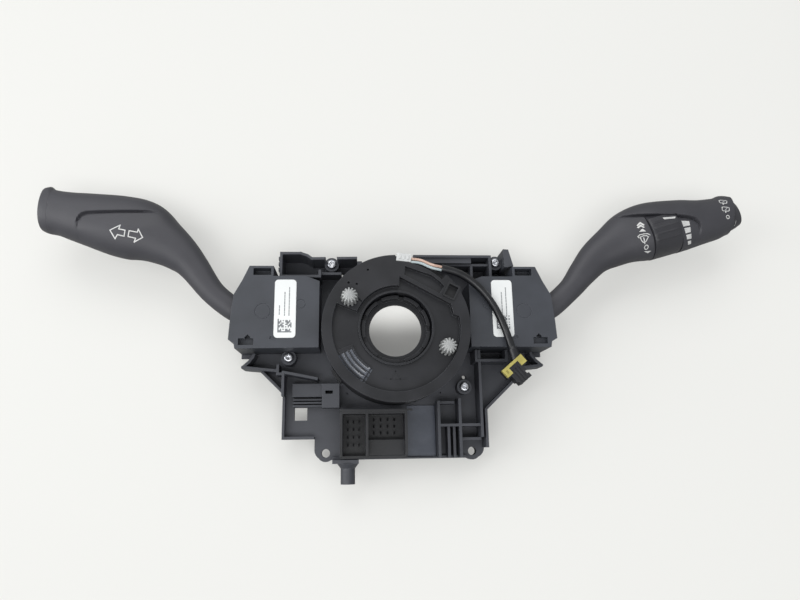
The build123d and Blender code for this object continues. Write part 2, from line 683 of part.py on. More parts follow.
# ---------------------------------------------------------------- switch modules
def case_outline():
    """Outline of a switch case on the right-hand side."""
    return [(CASE_INNER_X, CASE_BOTTOM), (CASE_OUTER_X - 4.0, CASE_BOTTOM - 0.4),
            (CASE_OUTER_X - 3.4, CASE_BOTTOM + 3.0), (CASE_OUTER_X, CASE_BOTTOM + 5.0),
            (CASE_OUTER_X - 0.6, 6.4), (CASE_OUTER_X - 2.2, 22.4), (CASE_OUTER_X - 6.8, 31.0),
            (TAB_LEFT, TAB_TOP), (TAB_RIGHT, TAB_TOP), (TAB_RIGHT, CASE_TOP),
            (CASE_INNER_X + 8.4, CASE_TOP), (CASE_INNER_X, CASE_TOP - 3.2)]


def case_cavity():
    """Room inside a switch case, one wall in from its outline."""
    low, high = CASE_BOTTOM + CASE_WALL + 5.0, CASE_TOP - CASE_WALL
    return [(CASE_INNER_X + CASE_WALL, low), (CASE_OUTER_X - 3.0, low), (CASE_OUTER_X - 2.6, 6.4),
            (CASE_OUTER_X - 4.2, 21.8), (CASE_OUTER_X - 9.6, high), (CASE_INNER_X + 8.8, high),
            (CASE_INNER_X + CASE_WALL, high - 3.0)]


def switch_case(side):
    """Cover of a switch module, open at the back and at the stalk's port."""
    inside_top = CASE_FRONT - CASE_WALL
    over = CASE_FRONT + 1
    case = prism(case_outline(), BASE_FRONT, CASE_FRONT)
    case -= prism(case_cavity(), BASE_FRONT - 1, inside_top)
    case -= block(CASE_OUTER_X - 12, CASE_OUTER_X + 2, STALK_PORT_LOW, STALK_PORT_HIGH,
                  BASE_FRONT - 1, inside_top)
    case -= block(TAB_RIGHT + TAB_WALL, TAB_LEFT - TAB_WALL - 1.0, CASE_TOP + 0.6, TAB_TOP - TAB_WALL,
                  CASE_FRONT - POCKET_DEPTH, over)
    x0, x1, y0, y1, depth = CLIP_NOTCH
    case -= block(CASE_OUTER_X - x0, CASE_OUTER_X - x1, CASE_BOTTOM + y0, CASE_BOTTOM + y1,
                  CASE_FRONT - depth, over)
    case -= Pos(CASE_OUTER_X - 11.4, CASE_BOTTOM + 6.2, CASE_FRONT) * Rot(0, 0, 45) * Box(2.6, 2.6, 8.0)
    case -= Pos(CASE_OUTER_X - 26.4, CASE_BOTTOM + 5.4, CASE_FRONT) * Rot(0, 0, 20) * Box(4.0, 1.8, 1.2)
    for x, y, radius in CASE_RINGS:
        case -= tube(x, y, radius, radius - RING_MARK_WIDTH, CASE_FRONT - RING_MARK_DEPTH, over)
    boss = TRUNNION_RADIUS + BEARING_WALL
    bore = TRUNNION_RADIUS + RUNNING_FIT
    case += tube(PIVOT_X, PIVOT_Y, boss, bore, inside_top - TRUNNION_DEPTH, inside_top)
    return mirrored(case, side)


def switch_base(side):
    """Back plate of a switch module with the rocker's lower bearing and the board's posts."""
    base = prism(case_outline(), WEB_FRONT, BASE_FRONT)
    boss = TRUNNION_RADIUS + BEARING_WALL
    bore = TRUNNION_RADIUS + RUNNING_FIT
    base += tube(PIVOT_X, PIVOT_Y, boss, bore, BASE_FRONT, BASE_FRONT + TRUNNION_DEPTH)
    for x in (CASE_INNER_X + 5.0, CASE_INNER_X + 20.0):
        for y in (CASE_TOP - 7.0, CASE_BOTTOM + 10.0):
            base += disc(x, y, POST_RADIUS, BASE_FRONT, BASE_FRONT + POST_HEIGHT)
    return mirrored(base, side)


def contact_board(side):
    """Circuit board with the sliding contacts' tracks."""
    seat = BASE_FRONT + POST_HEIGHT
    top = seat + BOARD_THICK
    board = block(CASE_INNER_X + 2.6, CASE_INNER_X + 22.4, CASE_BOTTOM + 7.6, CASE_TOP - 5.0, seat, top)
    for y in CONTACT_TRACKS:
        board += block(CASE_INNER_X + 14.0, CASE_INNER_X + 21.0, y - 1.2, y + 1.2, top, top + 0.3)
    return mirrored(board, side)


def terminal_pins(side):
    """Row of contact pins from the board through the back plate."""
    seat = BASE_FRONT + POST_HEIGHT + BOARD_THICK
    pins = []
    for index in range(6):
        y = CASE_BOTTOM + 14.0 + index * 3.4
        pin = block(CASE_INNER_X + 8.7, CASE_INNER_X + 9.3, y - 0.3, y + 0.3, seat, seat + 5.0)
        pins.append(mirrored(pin, side))
    return Compound(pins)


def rocker_bottom():
    """Height of the rocker's underside over its lower bearing."""
    return BASE_FRONT + TRUNNION_DEPTH + LOOSE_GAP


def rocker(side):
    """Frame that turns up and down in the case and carries the lever's cross pin."""
    bottom = rocker_bottom()
    top = CASE_FRONT - CASE_WALL - TRUNNION_DEPTH - LOOSE_GAP
    half = ROCKER_LENGTH / 2
    outer = ROCKER_WIDTH / 2
    inner = outer - ROCKER_WALL
    frame = block(PIVOT_X - half, PIVOT_X + half, PIVOT_Y - outer, PIVOT_Y + outer, bottom, top)
    frame -= block(PIVOT_X - half - 1, PIVOT_X + half + 1, PIVOT_Y - inner, PIVOT_Y + inner,
                   bottom + ROCKER_WALL, top - ROCKER_WALL)
    frame += disc(PIVOT_X, PIVOT_Y, TRUNNION_RADIUS, top, CASE_FRONT - CASE_WALL - LOOSE_GAP)
    frame += disc(PIVOT_X, PIVOT_Y, TRUNNION_RADIUS, BASE_FRONT + LOOSE_GAP, bottom)
    frame -= Pos(PIVOT_X, PIVOT_Y, STALK_Z) * Rot(90, 0, 0) * Cylinder(CROSS_PIN_RADIUS, ROCKER_WIDTH + 2)
    arm_top = top - 0.4
    start = PIVOT_X - half
    arm_back = arm_top - ROCKER_WALL
    cam = CAM_THICK / 2
    arm = block(start - CAM_ARM + cam, start, PIVOT_Y - cam, PIVOT_Y + cam, arm_back, arm_top)
    arm += disc(start - CAM_ARM + cam, PIVOT_Y, cam, arm_back, arm_top)
    return mirrored(frame + arm, side)


def cross_pin(side):
    """Steel pin across the rocker."""
    pin = Pos(PIVOT_X, PIVOT_Y, STALK_Z) * Rot(90, 0, 0) * Cylinder(CROSS_PIN_RADIUS, ROCKER_WIDTH - 0.4)
    return mirrored(pin, side)


def detent_spring(side):
    """Bent leaf with three notches that the rocker's arm clicks into."""
    x = PIVOT_X - ROCKER_LENGTH / 2 - CAM_ARM - LOOSE_GAP - 0.7
    path = [(x + bend, PIVOT_Y + rise) for bend, rise in DETENT_PATH]
    back = [(px - DETENT_THICK, py) for px, py in reversed(path)]
    top = CASE_FRONT - CASE_WALL
    leaf = prism(path + back, top - DETENT_HEIGHT, top)
    return mirrored(leaf, side)


def return_spring(side):
    """Small compression spring between the rocker's floor and the lever's tail."""
    bottom = rocker_bottom() + ROCKER_WALL
    length = STALK_Z - LEVER_SIZE / 2 - bottom - 0.5
    x = PIVOT_X - ROCKER_LENGTH / 2 + SPRING_RADIUS + 0.6
    coil = Helix(pitch=length / SPRING_TURNS, height=length - SPRING_WIRE * 2, radius=SPRING_RADIUS)
    profile = Plane(origin=coil @ 0, z_dir=coil % 0) * Circle(SPRING_WIRE)
    spring = Pos(x, PIVOT_Y, bottom + SPRING_WIRE) * sweep(profile, path=coil, is_frenet=True)
    return mirrored(spring, side)


def label(side):
    """Paper label on the case."""
    shape = Pos(LABEL_X, LABEL_Y, CASE_FRONT) * extrude(
        RectangleRounded(LABEL_WIDTH, LABEL_HEIGHT, LABEL_CORNER), amount=LABEL_THICK)
    return mirrored(shape, side)


# ---------------------------------------------------------------- stalks
def lifted(shape):
    """Tilt a right-hand stalk piece towards the driver about its cross pin."""
    return shape.rotate(Axis((PIVOT_X, PIVOT_Y, STALK_Z), (0, 1, 0)), -STALK_RISE)


def section_planes(sections):
    """A plane across the stalk at each section, square to its centre line."""
    planes = []
    for index, (x, y, _, _) in enumerate(sections):
        before = sections[max(index - 1, 0)]
        after = sections[min(index + 1, len(sections) - 1)]
        direction = Vector(after[0] - before[0], after[1] - before[1], 0).normalized()
        planes.append(Plane(origin=(x, y, STALK_Z), x_dir=(-direction.Y, direction.X, 0), z_dir=direction))
    return planes


def stalk_body(sections, inset):
    """Loft through the sections, each made smaller by the inset."""
    faces = []
    for plane, (_, _, width, thickness) in zip(section_planes(sections), sections):
        faces.append(plane * Ellipse(width - inset, thickness - inset))
    return loft(faces)


def lever_route(sections):
    """Centre line of the lever inside its stalk."""
    straight = PIVOT_X + ROCKER_LENGTH / 2 + LEVER_SIZE / 2
    start = [(PIVOT_X - LEVER_TAIL, PIVOT_Y), (PIVOT_X, PIVOT_Y), (straight, PIVOT_Y)]
    return start + [(x, y) for x, y, _, _ in sections[1:-1]]


def stalk_recess(points):
    """Prism over a shallow recess of the stalk's front face."""
    return prism(points, STALK_Z, STALK_Z + 40)


def stalk_halves(sections, recess_points):
    """Hollow stalk, cut along its middle into a front and a back shell."""
    outside = stalk_body(sections, 0.0)
    outside -= stalk_recess(recess_points) - stalk_body(sections, RECESS_DEPTH)
    end_wall = extrude(end_face(sections).offset(-END_WALL) * Rectangle(80, 80), amount=60)
    hollow = outside - (stalk_body(sections, SHELL_WALL) - end_wall)
    reach = 400
    front = hollow & block(0, reach, -reach, reach, STALK_Z, STALK_Z + 60)
    back = hollow & block(0, reach, -reach, reach, STALK_Z - 60, STALK_Z)
    return front, back


def lever_bar(sections, end):
    """Lever: eye on the cross pin and a square bar along the stalk."""
    route = lever_route(sections)[:end]
    half = LEVER_SIZE / 2
    bar = None
    for (x0, y0), (x1, y1) in zip(route, route[1:]):
        length = hypot(x1 - x0, y1 - y0)
        turn = degrees(atan2(y1 - y0, x1 - x0))
        middle = Pos((x0 + x1) / 2, (y0 + y1) / 2, STALK_Z)
        part = middle * Rot(0, 0, turn) * Box(length, LEVER_SIZE, LEVER_SIZE)
        part += disc(x1, y1, half, STALK_Z - half, STALK_Z + half)
        bar = part if bar is None else bar + part
    eye = ROCKER_WIDTH / 2 - ROCKER_WALL - LOOSE_GAP
    bar += block(PIVOT_X - 4.0, PIVOT_X + 4.0, PIVOT_Y - eye, PIVOT_Y + eye, STALK_Z - half, STALK_Z + half)
    hole = Rot(90, 0, 0) * Cylinder(CROSS_PIN_RADIUS + RUNNING_FIT, ROCKER_WIDTH)
    bar -= Pos(PIVOT_X, PIVOT_Y, STALK_Z) * hole
    return bar


def end_face(sections):
    """Plane square to the stalk at its last section."""
    return section_planes(sections)[-1]


def left_cap():
    """Closed cap on the end of the left stalk."""
    plane = end_face(LEFT_SECTIONS)
    _, _, width, thickness = LEFT_SECTIONS[-1]
    faces = [plane * Ellipse(width, thickness),
             plane.offset(CAP_LENGTH - CAP_CORNER) * Ellipse(CAP_END_WIDTH, CAP_END_THICK),
             plane.offset(CAP_LENGTH) * Ellipse(CAP_END_WIDTH - CAP_CORNER, CAP_END_THICK - CAP_CORNER)]
    return loft(faces, ruled=True)


def ring_axis_plane():
    """Plane across the interval ring at its middle."""
    direction = (cos(radians(RING_TURN)), sin(radians(RING_TURN)), 0)
    return Plane(origin=(*RING_PLACE, STALK_Z), x_dir=(-direction[1], direction[0], 0), z_dir=direction)


def ring_cylinder(radius, length):
    """Cylinder on the ring's axis, centred on the ring."""
    plane = ring_axis_plane()
    return extrude(plane.offset(-length / 2) * Circle(radius), amount=length)


def interval_ring():
    """Rotary ring with a few soft ridges on its front."""
    ring = ring_cylinder(RING_RADIUS, RING_LENGTH)
    plane = ring_axis_plane()
    for index in range(RING_RIDGES):
        turn = (index - (RING_RIDGES - 1) / 2) * RING_RIDGE_STEP
        across = plane.offset(-RING_LENGTH / 2 + 1.5) * Rot(0, 0, turn) * Pos(0, RING_RADIUS - 0.5, 0)
        ring += extrude(across * Circle(1.0), amount=RING_LENGTH - 3.0)
    return ring - ring_cylinder(RING_RADIUS - RING_WALL, RING_LENGTH + 2)


def right_knob():
    """Rotary end knob with its spindle."""
    face = knob_plane()
    knob = loft([face * Ellipse(KNOB_WIDTH, KNOB_THICK),
                 face.offset(KNOB_LENGTH - KNOB_CORNER) * Ellipse(KNOB_END_WIDTH + KNOB_CORNER,
                                                              KNOB_END_THICK + KNOB_CORNER),
                 face.offset(KNOB_LENGTH) * Ellipse(KNOB_END_WIDTH, KNOB_END_THICK)], ruled=True)
    return knob + extrude(face.offset(-SPINDLE_LENGTH) * Circle(SPINDLE_RADIUS), amount=SPINDLE_LENGTH)


def knob_plane():
    """Seam between the right stalk and its end knob."""
    x, y, _, _ = RIGHT_SECTIONS[-1]
    direction = (cos(radians(KNOB_TURN)), sin(radians(KNOB_TURN)), 0)
    plane = Plane(origin=(x, y, STALK_Z), x_dir=(-direction[1], direction[0], 0), z_dir=direction)
    return plane.offset(LOOSE_GAP)


def right_shells():
    """Front and back shell of the right stalk, opened for the interval ring."""
    front, back = stalk_halves(RIGHT_SECTIONS, RIGHT_RECESS)
    seat = ring_cylinder(RING_RADIUS + RING_SEAT_GAP, RING_LENGTH + 2 * RING_SIDE_GAP)
    beyond = knob_plane().offset(-LOOSE_GAP)
    trim = extrude(beyond * Rectangle(60, 60), amount=40)
    room = beyond.offset(-SPINDLE_LENGTH - 4) * Circle(SPINDLE_RADIUS + RUNNING_FIT)
    spindle_hole = extrude(room, amount=SPINDLE_LENGTH + 8)
    return [shell - seat - trim - spindle_hole for shell in (front, back)]


def right_lever():
    """Right lever with the drum that the interval ring turns on."""
    drum = ring_cylinder(RING_RADIUS - RING_WALL - RUNNING_FIT, RING_LENGTH + 2 * RING_SIDE_GAP)
    return lever_bar(RIGHT_SECTIONS, RIGHT_LEVER_STATIONS) + drum


def left_parts():
    """Front shell, back shell, lever and cap of the left stalk, still on the right-hand side."""
    front, back = stalk_halves(LEFT_SECTIONS, LEFT_RECESS)
    return front, back, lever_bar(LEFT_SECTIONS, LEFT_LEVER_STATIONS) - front - back, left_cap()


# ---------------------------------------------------------------- pigtail
def route_radii(points):
    """Radius at each corner: 0.45 of the shorter run over the tangent of half the turn."""
    radii = []
    for before, here, after in zip(points, points[1:], points[2:]):
        first = Vector(*here) - Vector(*before)
        second = Vector(*after) - Vector(*here)
        half_turn = radians(first.get_angle(second)) / 2
        radii.append(0.45 * min(first.length, second.length) / tan(half_turn))
    return radii


def cable(points, diameter, name):
    """Round cable along straight runs joined by tangent arcs."""
    radii = route_radii(points)
    path = FilletPolyline(*points, radius=radii)
    solid = sweep(Plane(origin=path @ 0, z_dir=path % 0) * Circle(diameter / 2), path=path)
    expected = pi * diameter ** 2 / 4 * path.length
    print(name, "radii", [round(radius, 1) for radius in radii], "length", round(path.length, 1),
          "volume", round(solid.volume, 1), "expected", round(expected, 1))
    return solid


def heading(turn):
    """Level unit vector at an angle from +X."""
    return Vector(cos(radians(turn)), sin(radians(turn)), 0)


def sleeve_points():
    """Route of the sleeve, with its last run level and along the boot."""
    last = Vector(*SLEEVE_ROUTE[-1]) + heading(CABLE_TURN) * CABLE_LAST_RUN
    return list(SLEEVE_ROUTE) + [(last.X, last.Y, last.Z)]


def boot_frame():
    """Plane across the end of the sleeve."""
    direction = heading(CABLE_TURN)
    return Plane(origin=sleeve_points()[-1], x_dir=(-direction.Y, direction.X, 0), z_dir=direction)


def connector_frame():
    """Plane at the connector's back: X across it, Y up, Z along it."""
    direction = heading(CONNECTOR_TURN)
    origin = Vector(*sleeve_points()[-1]) + heading(CABLE_TURN) * BOOT_LENGTH
    return Plane(origin=origin, x_dir=(-direction.Y, direction.X, 0), z_dir=direction)


def pigtail_boot():
    """Tapered boot between the sleeve and the connector, cut off at the connector's back."""
    frame = boot_frame()
    boot = loft([frame * Circle(SLEEVE_TUBE / 2), frame.offset(1.4) * Circle(BOOT_RADIUS - 0.4),
                 frame.offset(BOOT_LENGTH * 1.5) * Circle(BOOT_RADIUS)], ruled=True)
    return boot - in_frame(-30, 30, -30, 30, 0.0, 30)


def in_frame(x0, x1, y0, y1, z0, z1):
    """A box in the connector's frame."""
    return connector_frame() * block(x0, x1, y0, y1, z0, z1)


def pigtail_connector():
    """Black plug body with a wide shoulder, ribs and two open ways in its end."""
    left = -CONNECTOR_OFFSET - CONNECTOR_WIDTH / 2
    right = -CONNECTOR_OFFSET + CONNECTOR_WIDTH / 2
    half = CONNECTOR_THICK / 2
    end = CONNECTOR_LENGTH
    shoulder = LOCK_WIDTH / 2 - 0.3
    body = in_frame(left, right, -half, half, 0.0, end)
    body += in_frame(-LOCK_OFFSET - shoulder, -LOCK_OFFSET + shoulder, -half, half - 2.0,
                     0.0, CONNECTOR_SHOULDER)
    for x in (left + 2.8, left + 4.8, left + 6.8):
        body -= in_frame(x - 0.45, x + 0.45, half - 0.7, half + 1, LOCK_BAR + LOCK_LUG * 0.4, end + 1)
    for x in (left + 2.6, right - 2.6):
        body -= in_frame(x - 1.2, x + 1.2, -1.6, 1.6, end - 6.0, end + 1)
    body -= in_frame(left - 1, left + 1.0, -half - 1, half + 1, end - 2.4, end + 1)
    body -= in_frame(right - 1.2, right + 1, -half - 1, half + 1, end - 4.6, end - 2.6)
    return body - lock_shape()


def lock_shape():
    """Outside of the yellow lock: a bar with two lugs."""
    left = -LOCK_OFFSET - LOCK_WIDTH / 2
    right = -LOCK_OFFSET + LOCK_WIDTH / 2
    top = CONNECTOR_THICK / 2 + 0.5
    bar = in_frame(left, right, top - LOCK_THICK, top, 0.0, LOCK_BAR)
    bar += in_frame(left, left + LOCK_LUG_WIDTH, top - LOCK_THICK, top, 0.0, LOCK_LUG)
    bar += in_frame(right - LOCK_LUG_WIDTH, right, top - LOCK_THICK, top, 0.0, LOCK_LUG)
    return bar


def connector_lock():
    """Yellow lock with a small slot in its outer lug."""
    left = -LOCK_OFFSET - LOCK_WIDTH / 2
    top = CONNECTOR_THICK / 2 + 0.5
    slot = in_frame(left + 1.6, left + 2.6, top - 1.0, top + 1, 1.8, 3.8)
    return lock_shape() - slot


def wire_points(shift):
    """Route of one wire: straight out of the plug, then straight into the sleeve's end."""
    leave = heading(PLUG_TURN)
    leave_side = Vector(-leave.Y, leave.X, 0)
    seat = RIM_BACK + PLUG_SHELF_THICK
    start = Vector(*PLUG_PLACE, seat + PLUG_HEIGHT / 2)
    start += leave * (PLUG_WIDTH / 2) + leave_side * (shift - 1.0)
    end = Vector(*SLEEVE_ROUTE[0])
    run = (Vector(*SLEEVE_ROUTE[1]) - end).normalized()
    run_side = Vector(-run.Y, run.X, 0).normalized()
    end += run_side * shift
    points = [start, start + leave * WIRE_RUN, end - run * WIRE_RUN, end]
    return [(point.X, point.Y, point.Z) for point in points]


# ---------------------------------------------------------------- carrier
def rib(x0, y0, x1, y1, z0, z1, thick=WALL):
    """Upright rib between two points."""
    length = hypot(x1 - x0, y1 - y0)
    turn = degrees(atan2(y1 - y0, x1 - x0))
    middle = Pos((x0 + x1) / 2, (y0 + y1) / 2, (z0 + z1) / 2)
    return middle * Rot(0, 0, turn) * Box(length + thick, thick, z1 - z0)


def ribs(rows):
    """Rows of ribs on the web, each row with the height of its front edge."""
    walls = None
    for top, points in rows:
        for (x0, y0), (x1, y1) in zip(points, points[1:]):
            part = rib(x0, y0, x1, y1, WEB_FRONT, top)
            walls = part if walls is None else walls + part
    return walls


def blocks(rows):
    """Solid blocks on the web, each with the height of its front."""
    solids = None
    for x0, x1, y0, y1, top in rows:
        part = block(x0, x1, y0, y1, WEB_FRONT, top)
        solids = part if solids is None else solids + part
    return solids


def carrier_web():
    """Flat web of the carrier, with rounded lower corners."""
    web = disc(0, 0, ROTOR_RADIUS + 2, WEB_BACK, WEB_FRONT)
    for x0, x1, y0, y1 in WEB_AREAS:
        web += block(x0, x1, y0, y1, WEB_BACK, WEB_FRONT)
    web += block(PLATE_LEFT, PLATE_RIGHT, PLATE_BOTTOM + EAR_CORNER, -36, WEB_BACK, WEB_FRONT)
    web += block(PLATE_LEFT + EAR_CORNER, PLATE_RIGHT - EAR_CORNER, PLATE_BOTTOM, -36, WEB_BACK, WEB_FRONT)
    for x in (PLATE_LEFT + EAR_CORNER, PLATE_RIGHT - EAR_CORNER):
        web += disc(x, PLATE_BOTTOM + EAR_CORNER, EAR_CORNER, WEB_BACK, WEB_FRONT)
    web += prism(WEB_RIGHT_SIDE, WEB_BACK, WEB_FRONT)
    web += prism(WEB_LEFT_SIDE, WEB_BACK, WEB_FRONT)
    for side in (-1, 1):
        web += mirrored(prism(WEB_WING, WEB_BACK, WEB_FRONT), side)
    return web


def upper_right_arm():
    """Long box above the right switch, with its end post."""
    arm = ribs(UPPER_RIGHT_RIBS) + block(*UPPER_RIGHT_LID)
    return arm + prism(UPPER_RIGHT_POST, WEB_BACK, POST_TOP)


def lower_left():
    """Walls round the square hole, its ribbed block and the clip."""
    return ribs(LOWER_LEFT_RIBS) + blocks(LOWER_LEFT_BLOCKS) - block(*CLIP_SLOT)


def wings():
    """Curved hooks under both switches."""
    return mirrored(ribs(WING_RIBS), -1) + ribs(WING_RIBS)


def ear_places():
    """Centres of both ears."""
    return [(EAR_CENTRE_X + side * EAR_SPACING / 2, EAR_Y) for side in (-1, 1)]


def lower_edge():
    """Bottom wall and the pads behind the ears."""
    part = ribs(LOWER_EDGE_RIB)
    for x, y in ear_places():
        part += disc(x, y, EAR_RADIUS, WEB_BACK - EAR_PAD, WEB_FRONT)
    return part


def ear_holes():
    """Through holes of both ears, with room for the screw heads."""
    holes = None
    for x, y in ear_places():
        part = disc(x, y, EAR_HOLE / 2, WEB_BACK - EAR_PAD - 1, FAR_FRONT)
        part += disc(x, y, EAR_RADIUS, WEB_FRONT, FAR_FRONT)
        holes = part if holes is None else holes + part
    return holes


def carrier():
    """Main moulding that holds everything else."""
    body = carrier_web() + ribs(UPPER_LEFT_RIBS) + blocks(SCOOP_TEETH) + upper_right_arm() + lower_left()
    body += wings() + ribs(LOWER_RIGHT_RIBS) + lower_edge()
    for x, y, seat in SCREW_PLACES:
        body += disc(x, y, SCREW_BOSS, WEB_BACK, seat)
    body -= disc(0, 0, ROTOR_RADIUS + ROTOR_ROOM, WEB_FRONT, FAR_FRONT)
    body -= disc(0, 0, REAR_RADIUS - REAR_WALL, WEB_BACK - 1, WEB_FRONT - 1.0)
    body -= disc(0, 0, SLEEVE_HOLE, WEB_BACK - 1, FAR_FRONT)
    for side in (-1, 1):
        body -= mirrored(prism(case_outline(), WEB_FRONT, FAR_FRONT), side)
        sweep_room = block(CASE_OUTER_X - 14, 140, STALK_PORT_LOW, 120, WEB_FRONT, FAR_FRONT)
        body -= mirrored(sweep_room, side)
    body -= block(*SQUARE_HOLE, WEB_BACK - 1, FAR_FRONT)
    body -= block(*SHROUD_BOX, WEB_FRONT, FAR_FRONT)
    body -= block(*FILM_BOX, WEB_FRONT, FAR_FRONT)
    body -= ear_holes()
    for x, y, seat in SCREW_PLACES:
        body -= disc(x, y, SCREW_SHANK + RUNNING_FIT, seat - SCREW_LENGTH - 1, seat + 1)
        body -= disc(x, y, SCREW_HEAD_RADIUS + 1.0, seat, FAR_FRONT)
    for x, y, radius in WEB_HOLES:
        body -= disc(x, y, radius, WEB_BACK - 1, FAR_FRONT)
    return body


def electronics_shroud():
    """Deep open box with two bays, in the carrier's lower edge."""
    x0, x1, y0, y1 = SHROUD_BOX
    box = block(x0, x1, y0, y1, WEB_FRONT, SHROUD_TOP)
    floor = WEB_FRONT + SHROUD_FLOOR
    split = x0 + SHROUD_SPLIT
    step_length, step_height = SHROUD_STEP
    box -= block(x0 + WALL, split, y0 + WALL, y1 - WALL, floor, SHROUD_TOP + 1)
    box -= block(split + WALL, x1 - WALL, y0 + WALL, y1 - WALL, floor, SHROUD_TOP + 1)
    box += block(split + WALL, x1 - WALL, y0 + WALL, y0 + WALL + step_length, floor, floor + step_height)
    box -= block(x0 - 1, x1 + 1, y0 - 1, y0 + WALL + 0.1, SHROUD_NOTCH, SHROUD_TOP + 1)
    box += block(x0, x1 + 3.0, y1, y1 + 1.2, SHROUD_TOP - 2.0, SHROUD_TOP + 0.6)
    return box


def terminal_blades():
    """Blades of the vehicle connector, standing in the two bays."""
    left, _, _, upper = SHROUD_BOX
    floor = WEB_FRONT + SHROUD_FLOOR
    half_x, half_y = BLADE_HALF
    blades = []
    for first_x, first_y, pitch_x, pitch_y, columns, rows in BLADE_GRIDS:
        for column in range(columns):
            for row in range(rows):
                x = left + first_x + column * pitch_x
                y = upper - first_y - row * pitch_y
                blade = block(x - half_x, x + half_x, y - half_y, y + half_y, floor, floor + BLADE_HEIGHT)
                blades.append(blade)
    return Compound(blades)


def sealing_film():
    """Smooth glossy film over the electronics opening."""
    x0, x1, y0, y1 = FILM_BOX
    gap = LOOSE_GAP
    return block(x0 + gap, x1 - gap, y0 + gap, y1 - gap, WEB_FRONT, WEB_FRONT + FILM_THICK)


def spigot():
    """Round spigot with a flange on the bottom edge."""
    face = PLATE_BOTTOM
    reach_left, reach_right, flange_thick, half_height = SPIGOT_FLANGE
    taper_grow, taper_length = SPIGOT_TAPER
    middle = Pos(SPIGOT_X, (SPIGOT_END + face) / 2, SPIGOT_Z)
    pin = middle * Rot(90, 0, 0) * Cylinder(SPIGOT_RADIUS, face - SPIGOT_END)
    low, high = SPIGOT_Z - half_height, SPIGOT_Z + half_height
    flange = block(SPIGOT_X - reach_left, SPIGOT_X + reach_right, face - flange_thick, face, low, high)
    taper_place = Pos(SPIGOT_X, face - flange_thick - taper_length / 2, SPIGOT_Z)
    taper = taper_place * Rot(90, 0, 0) * Cone(SPIGOT_RADIUS + taper_grow, SPIGOT_RADIUS, taper_length)
    bore_place = Pos(SPIGOT_X, SPIGOT_END + SPIGOT_BORE_DEPTH / 2 - 0.5, SPIGOT_Z)
    bore = bore_place * Rot(90, 0, 0) * Cylinder(SPIGOT_BORE, SPIGOT_BORE_DEPTH + 1)
    return pin + flange + taper - bore


def case_screws():
    """Four torx screws."""
    screws = []
    for x, y, seat in SCREW_PLACES:
        screw = disc(x, y, SCREW_SHANK, seat - SCREW_LENGTH, seat)
        head = disc(x, y, SCREW_HEAD_RADIUS, seat, seat + SCREW_HEAD_HEIGHT)
        head = fillet(head.edges().group_by(Axis.Z)[-1], 0.9)
        for index in range(6):
            lobe_x, lobe_y = polar(1.05, index * 60)
            head -= disc(x + lobe_x, y + lobe_y, 0.42, seat + 0.9, seat + 4)
        head -= disc(x, y, 1.0, seat + 0.9, seat + 4)
        screws.append(screw + head)
    return Compound(screws)


# ---------------------------------------------------------------- write the parts
def main():
    """Build and write every sub-part."""
    write(carrier(), "carrier")
    write(rear_box(), "rear_box")
    write(main_board(), "main_board")
    write(electronics_shroud(), "electronics_shroud")
    write(terminal_blades(), "terminal_blades")
    write(sealing_film(), "sealing_film")
    write(spigot(), "spigot")
    write(case_screws(), "case_screws")
    write(stator_drum(), "stator_drum")
    write(stator_lid(), "stator_lid")
    write(ribbon_coil(), "ribbon_coil")
    write(rotor_disc(), "rotor_disc")
    write(rotor_hub(), "rotor_hub")
    write(drive_pins(), "drive_pins")
    write(outlet_socket(), "outlet_socket")
    write(outlet_plug(), "outlet_plug")
    write(sensor_ring(), "sensor_ring")
    write(measuring_gear(0), "measuring_gear_a")
    write(measuring_gear(1), "measuring_gear_b")
    for side, name in ((-1, "left"), (1, "right")):
        write(switch_case(side), name + "_switch_case")
        write(switch_base(side), name + "_switch_base")
        write(contact_board(side), name + "_contact_board")
        write(terminal_pins(side), name + "_terminal_pins")
        write(rocker(side), name + "_rocker")
        write(cross_pin(side), name + "_cross_pin")
        write(detent_spring(side), name + "_detent_spring")
        write(return_spring(side), name + "_return_spring")
        write(label(side), name + "_label")
    front, back, lever, cap = left_parts()
    for shape, name in ((front, "left_stalk_front"), (back, "left_stalk_back"),
                        (lever, "left_lever"), (cap, "left_end_cap")):
        write(mirrored(lifted(shape), -1), name)
    front, back = right_shells()
    lever = right_lever() - front - back
    for shape, name in ((front, "right_stalk_front"), (back, "right_stalk_back"), (lever, "right_lever"),
                        (interval_ring(), "interval_ring"), (right_knob(), "end_knob")):
        write(lifted(shape), name)
    write(cable(sleeve_points(), SLEEVE_TUBE, "sleeve"), "pigtail_sleeve")
    write(cable(wire_points(WIRE_PITCH / 2), WIRE_TUBE, "orange wire"), "wire_orange")
    write(cable(wire_points(-WIRE_PITCH / 2), WIRE_TUBE, "white wire"), "wire_white")
    write(pigtail_boot(), "pigtail_boot")
    write(pigtail_connector(), "pigtail_connector")
    write(connector_lock(), "connector_lock")


main()
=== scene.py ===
"""Looks of the combination stalk switch.

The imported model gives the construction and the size. This script gives every surface its finish,
models the stalk shells, the end pieces and the pigtail, and repeats the small parts by rule.
Lengths inside the classes are millimetres, as on a drawing, and become metres in the meshes.
"""
import logging
import math
from dataclasses import dataclass, field
from enum import Enum
from functools import partial
from typing import Callable, Iterable, Sequence

import bmesh
import bpy
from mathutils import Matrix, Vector
from mathutils.bvhtree import BVHTree


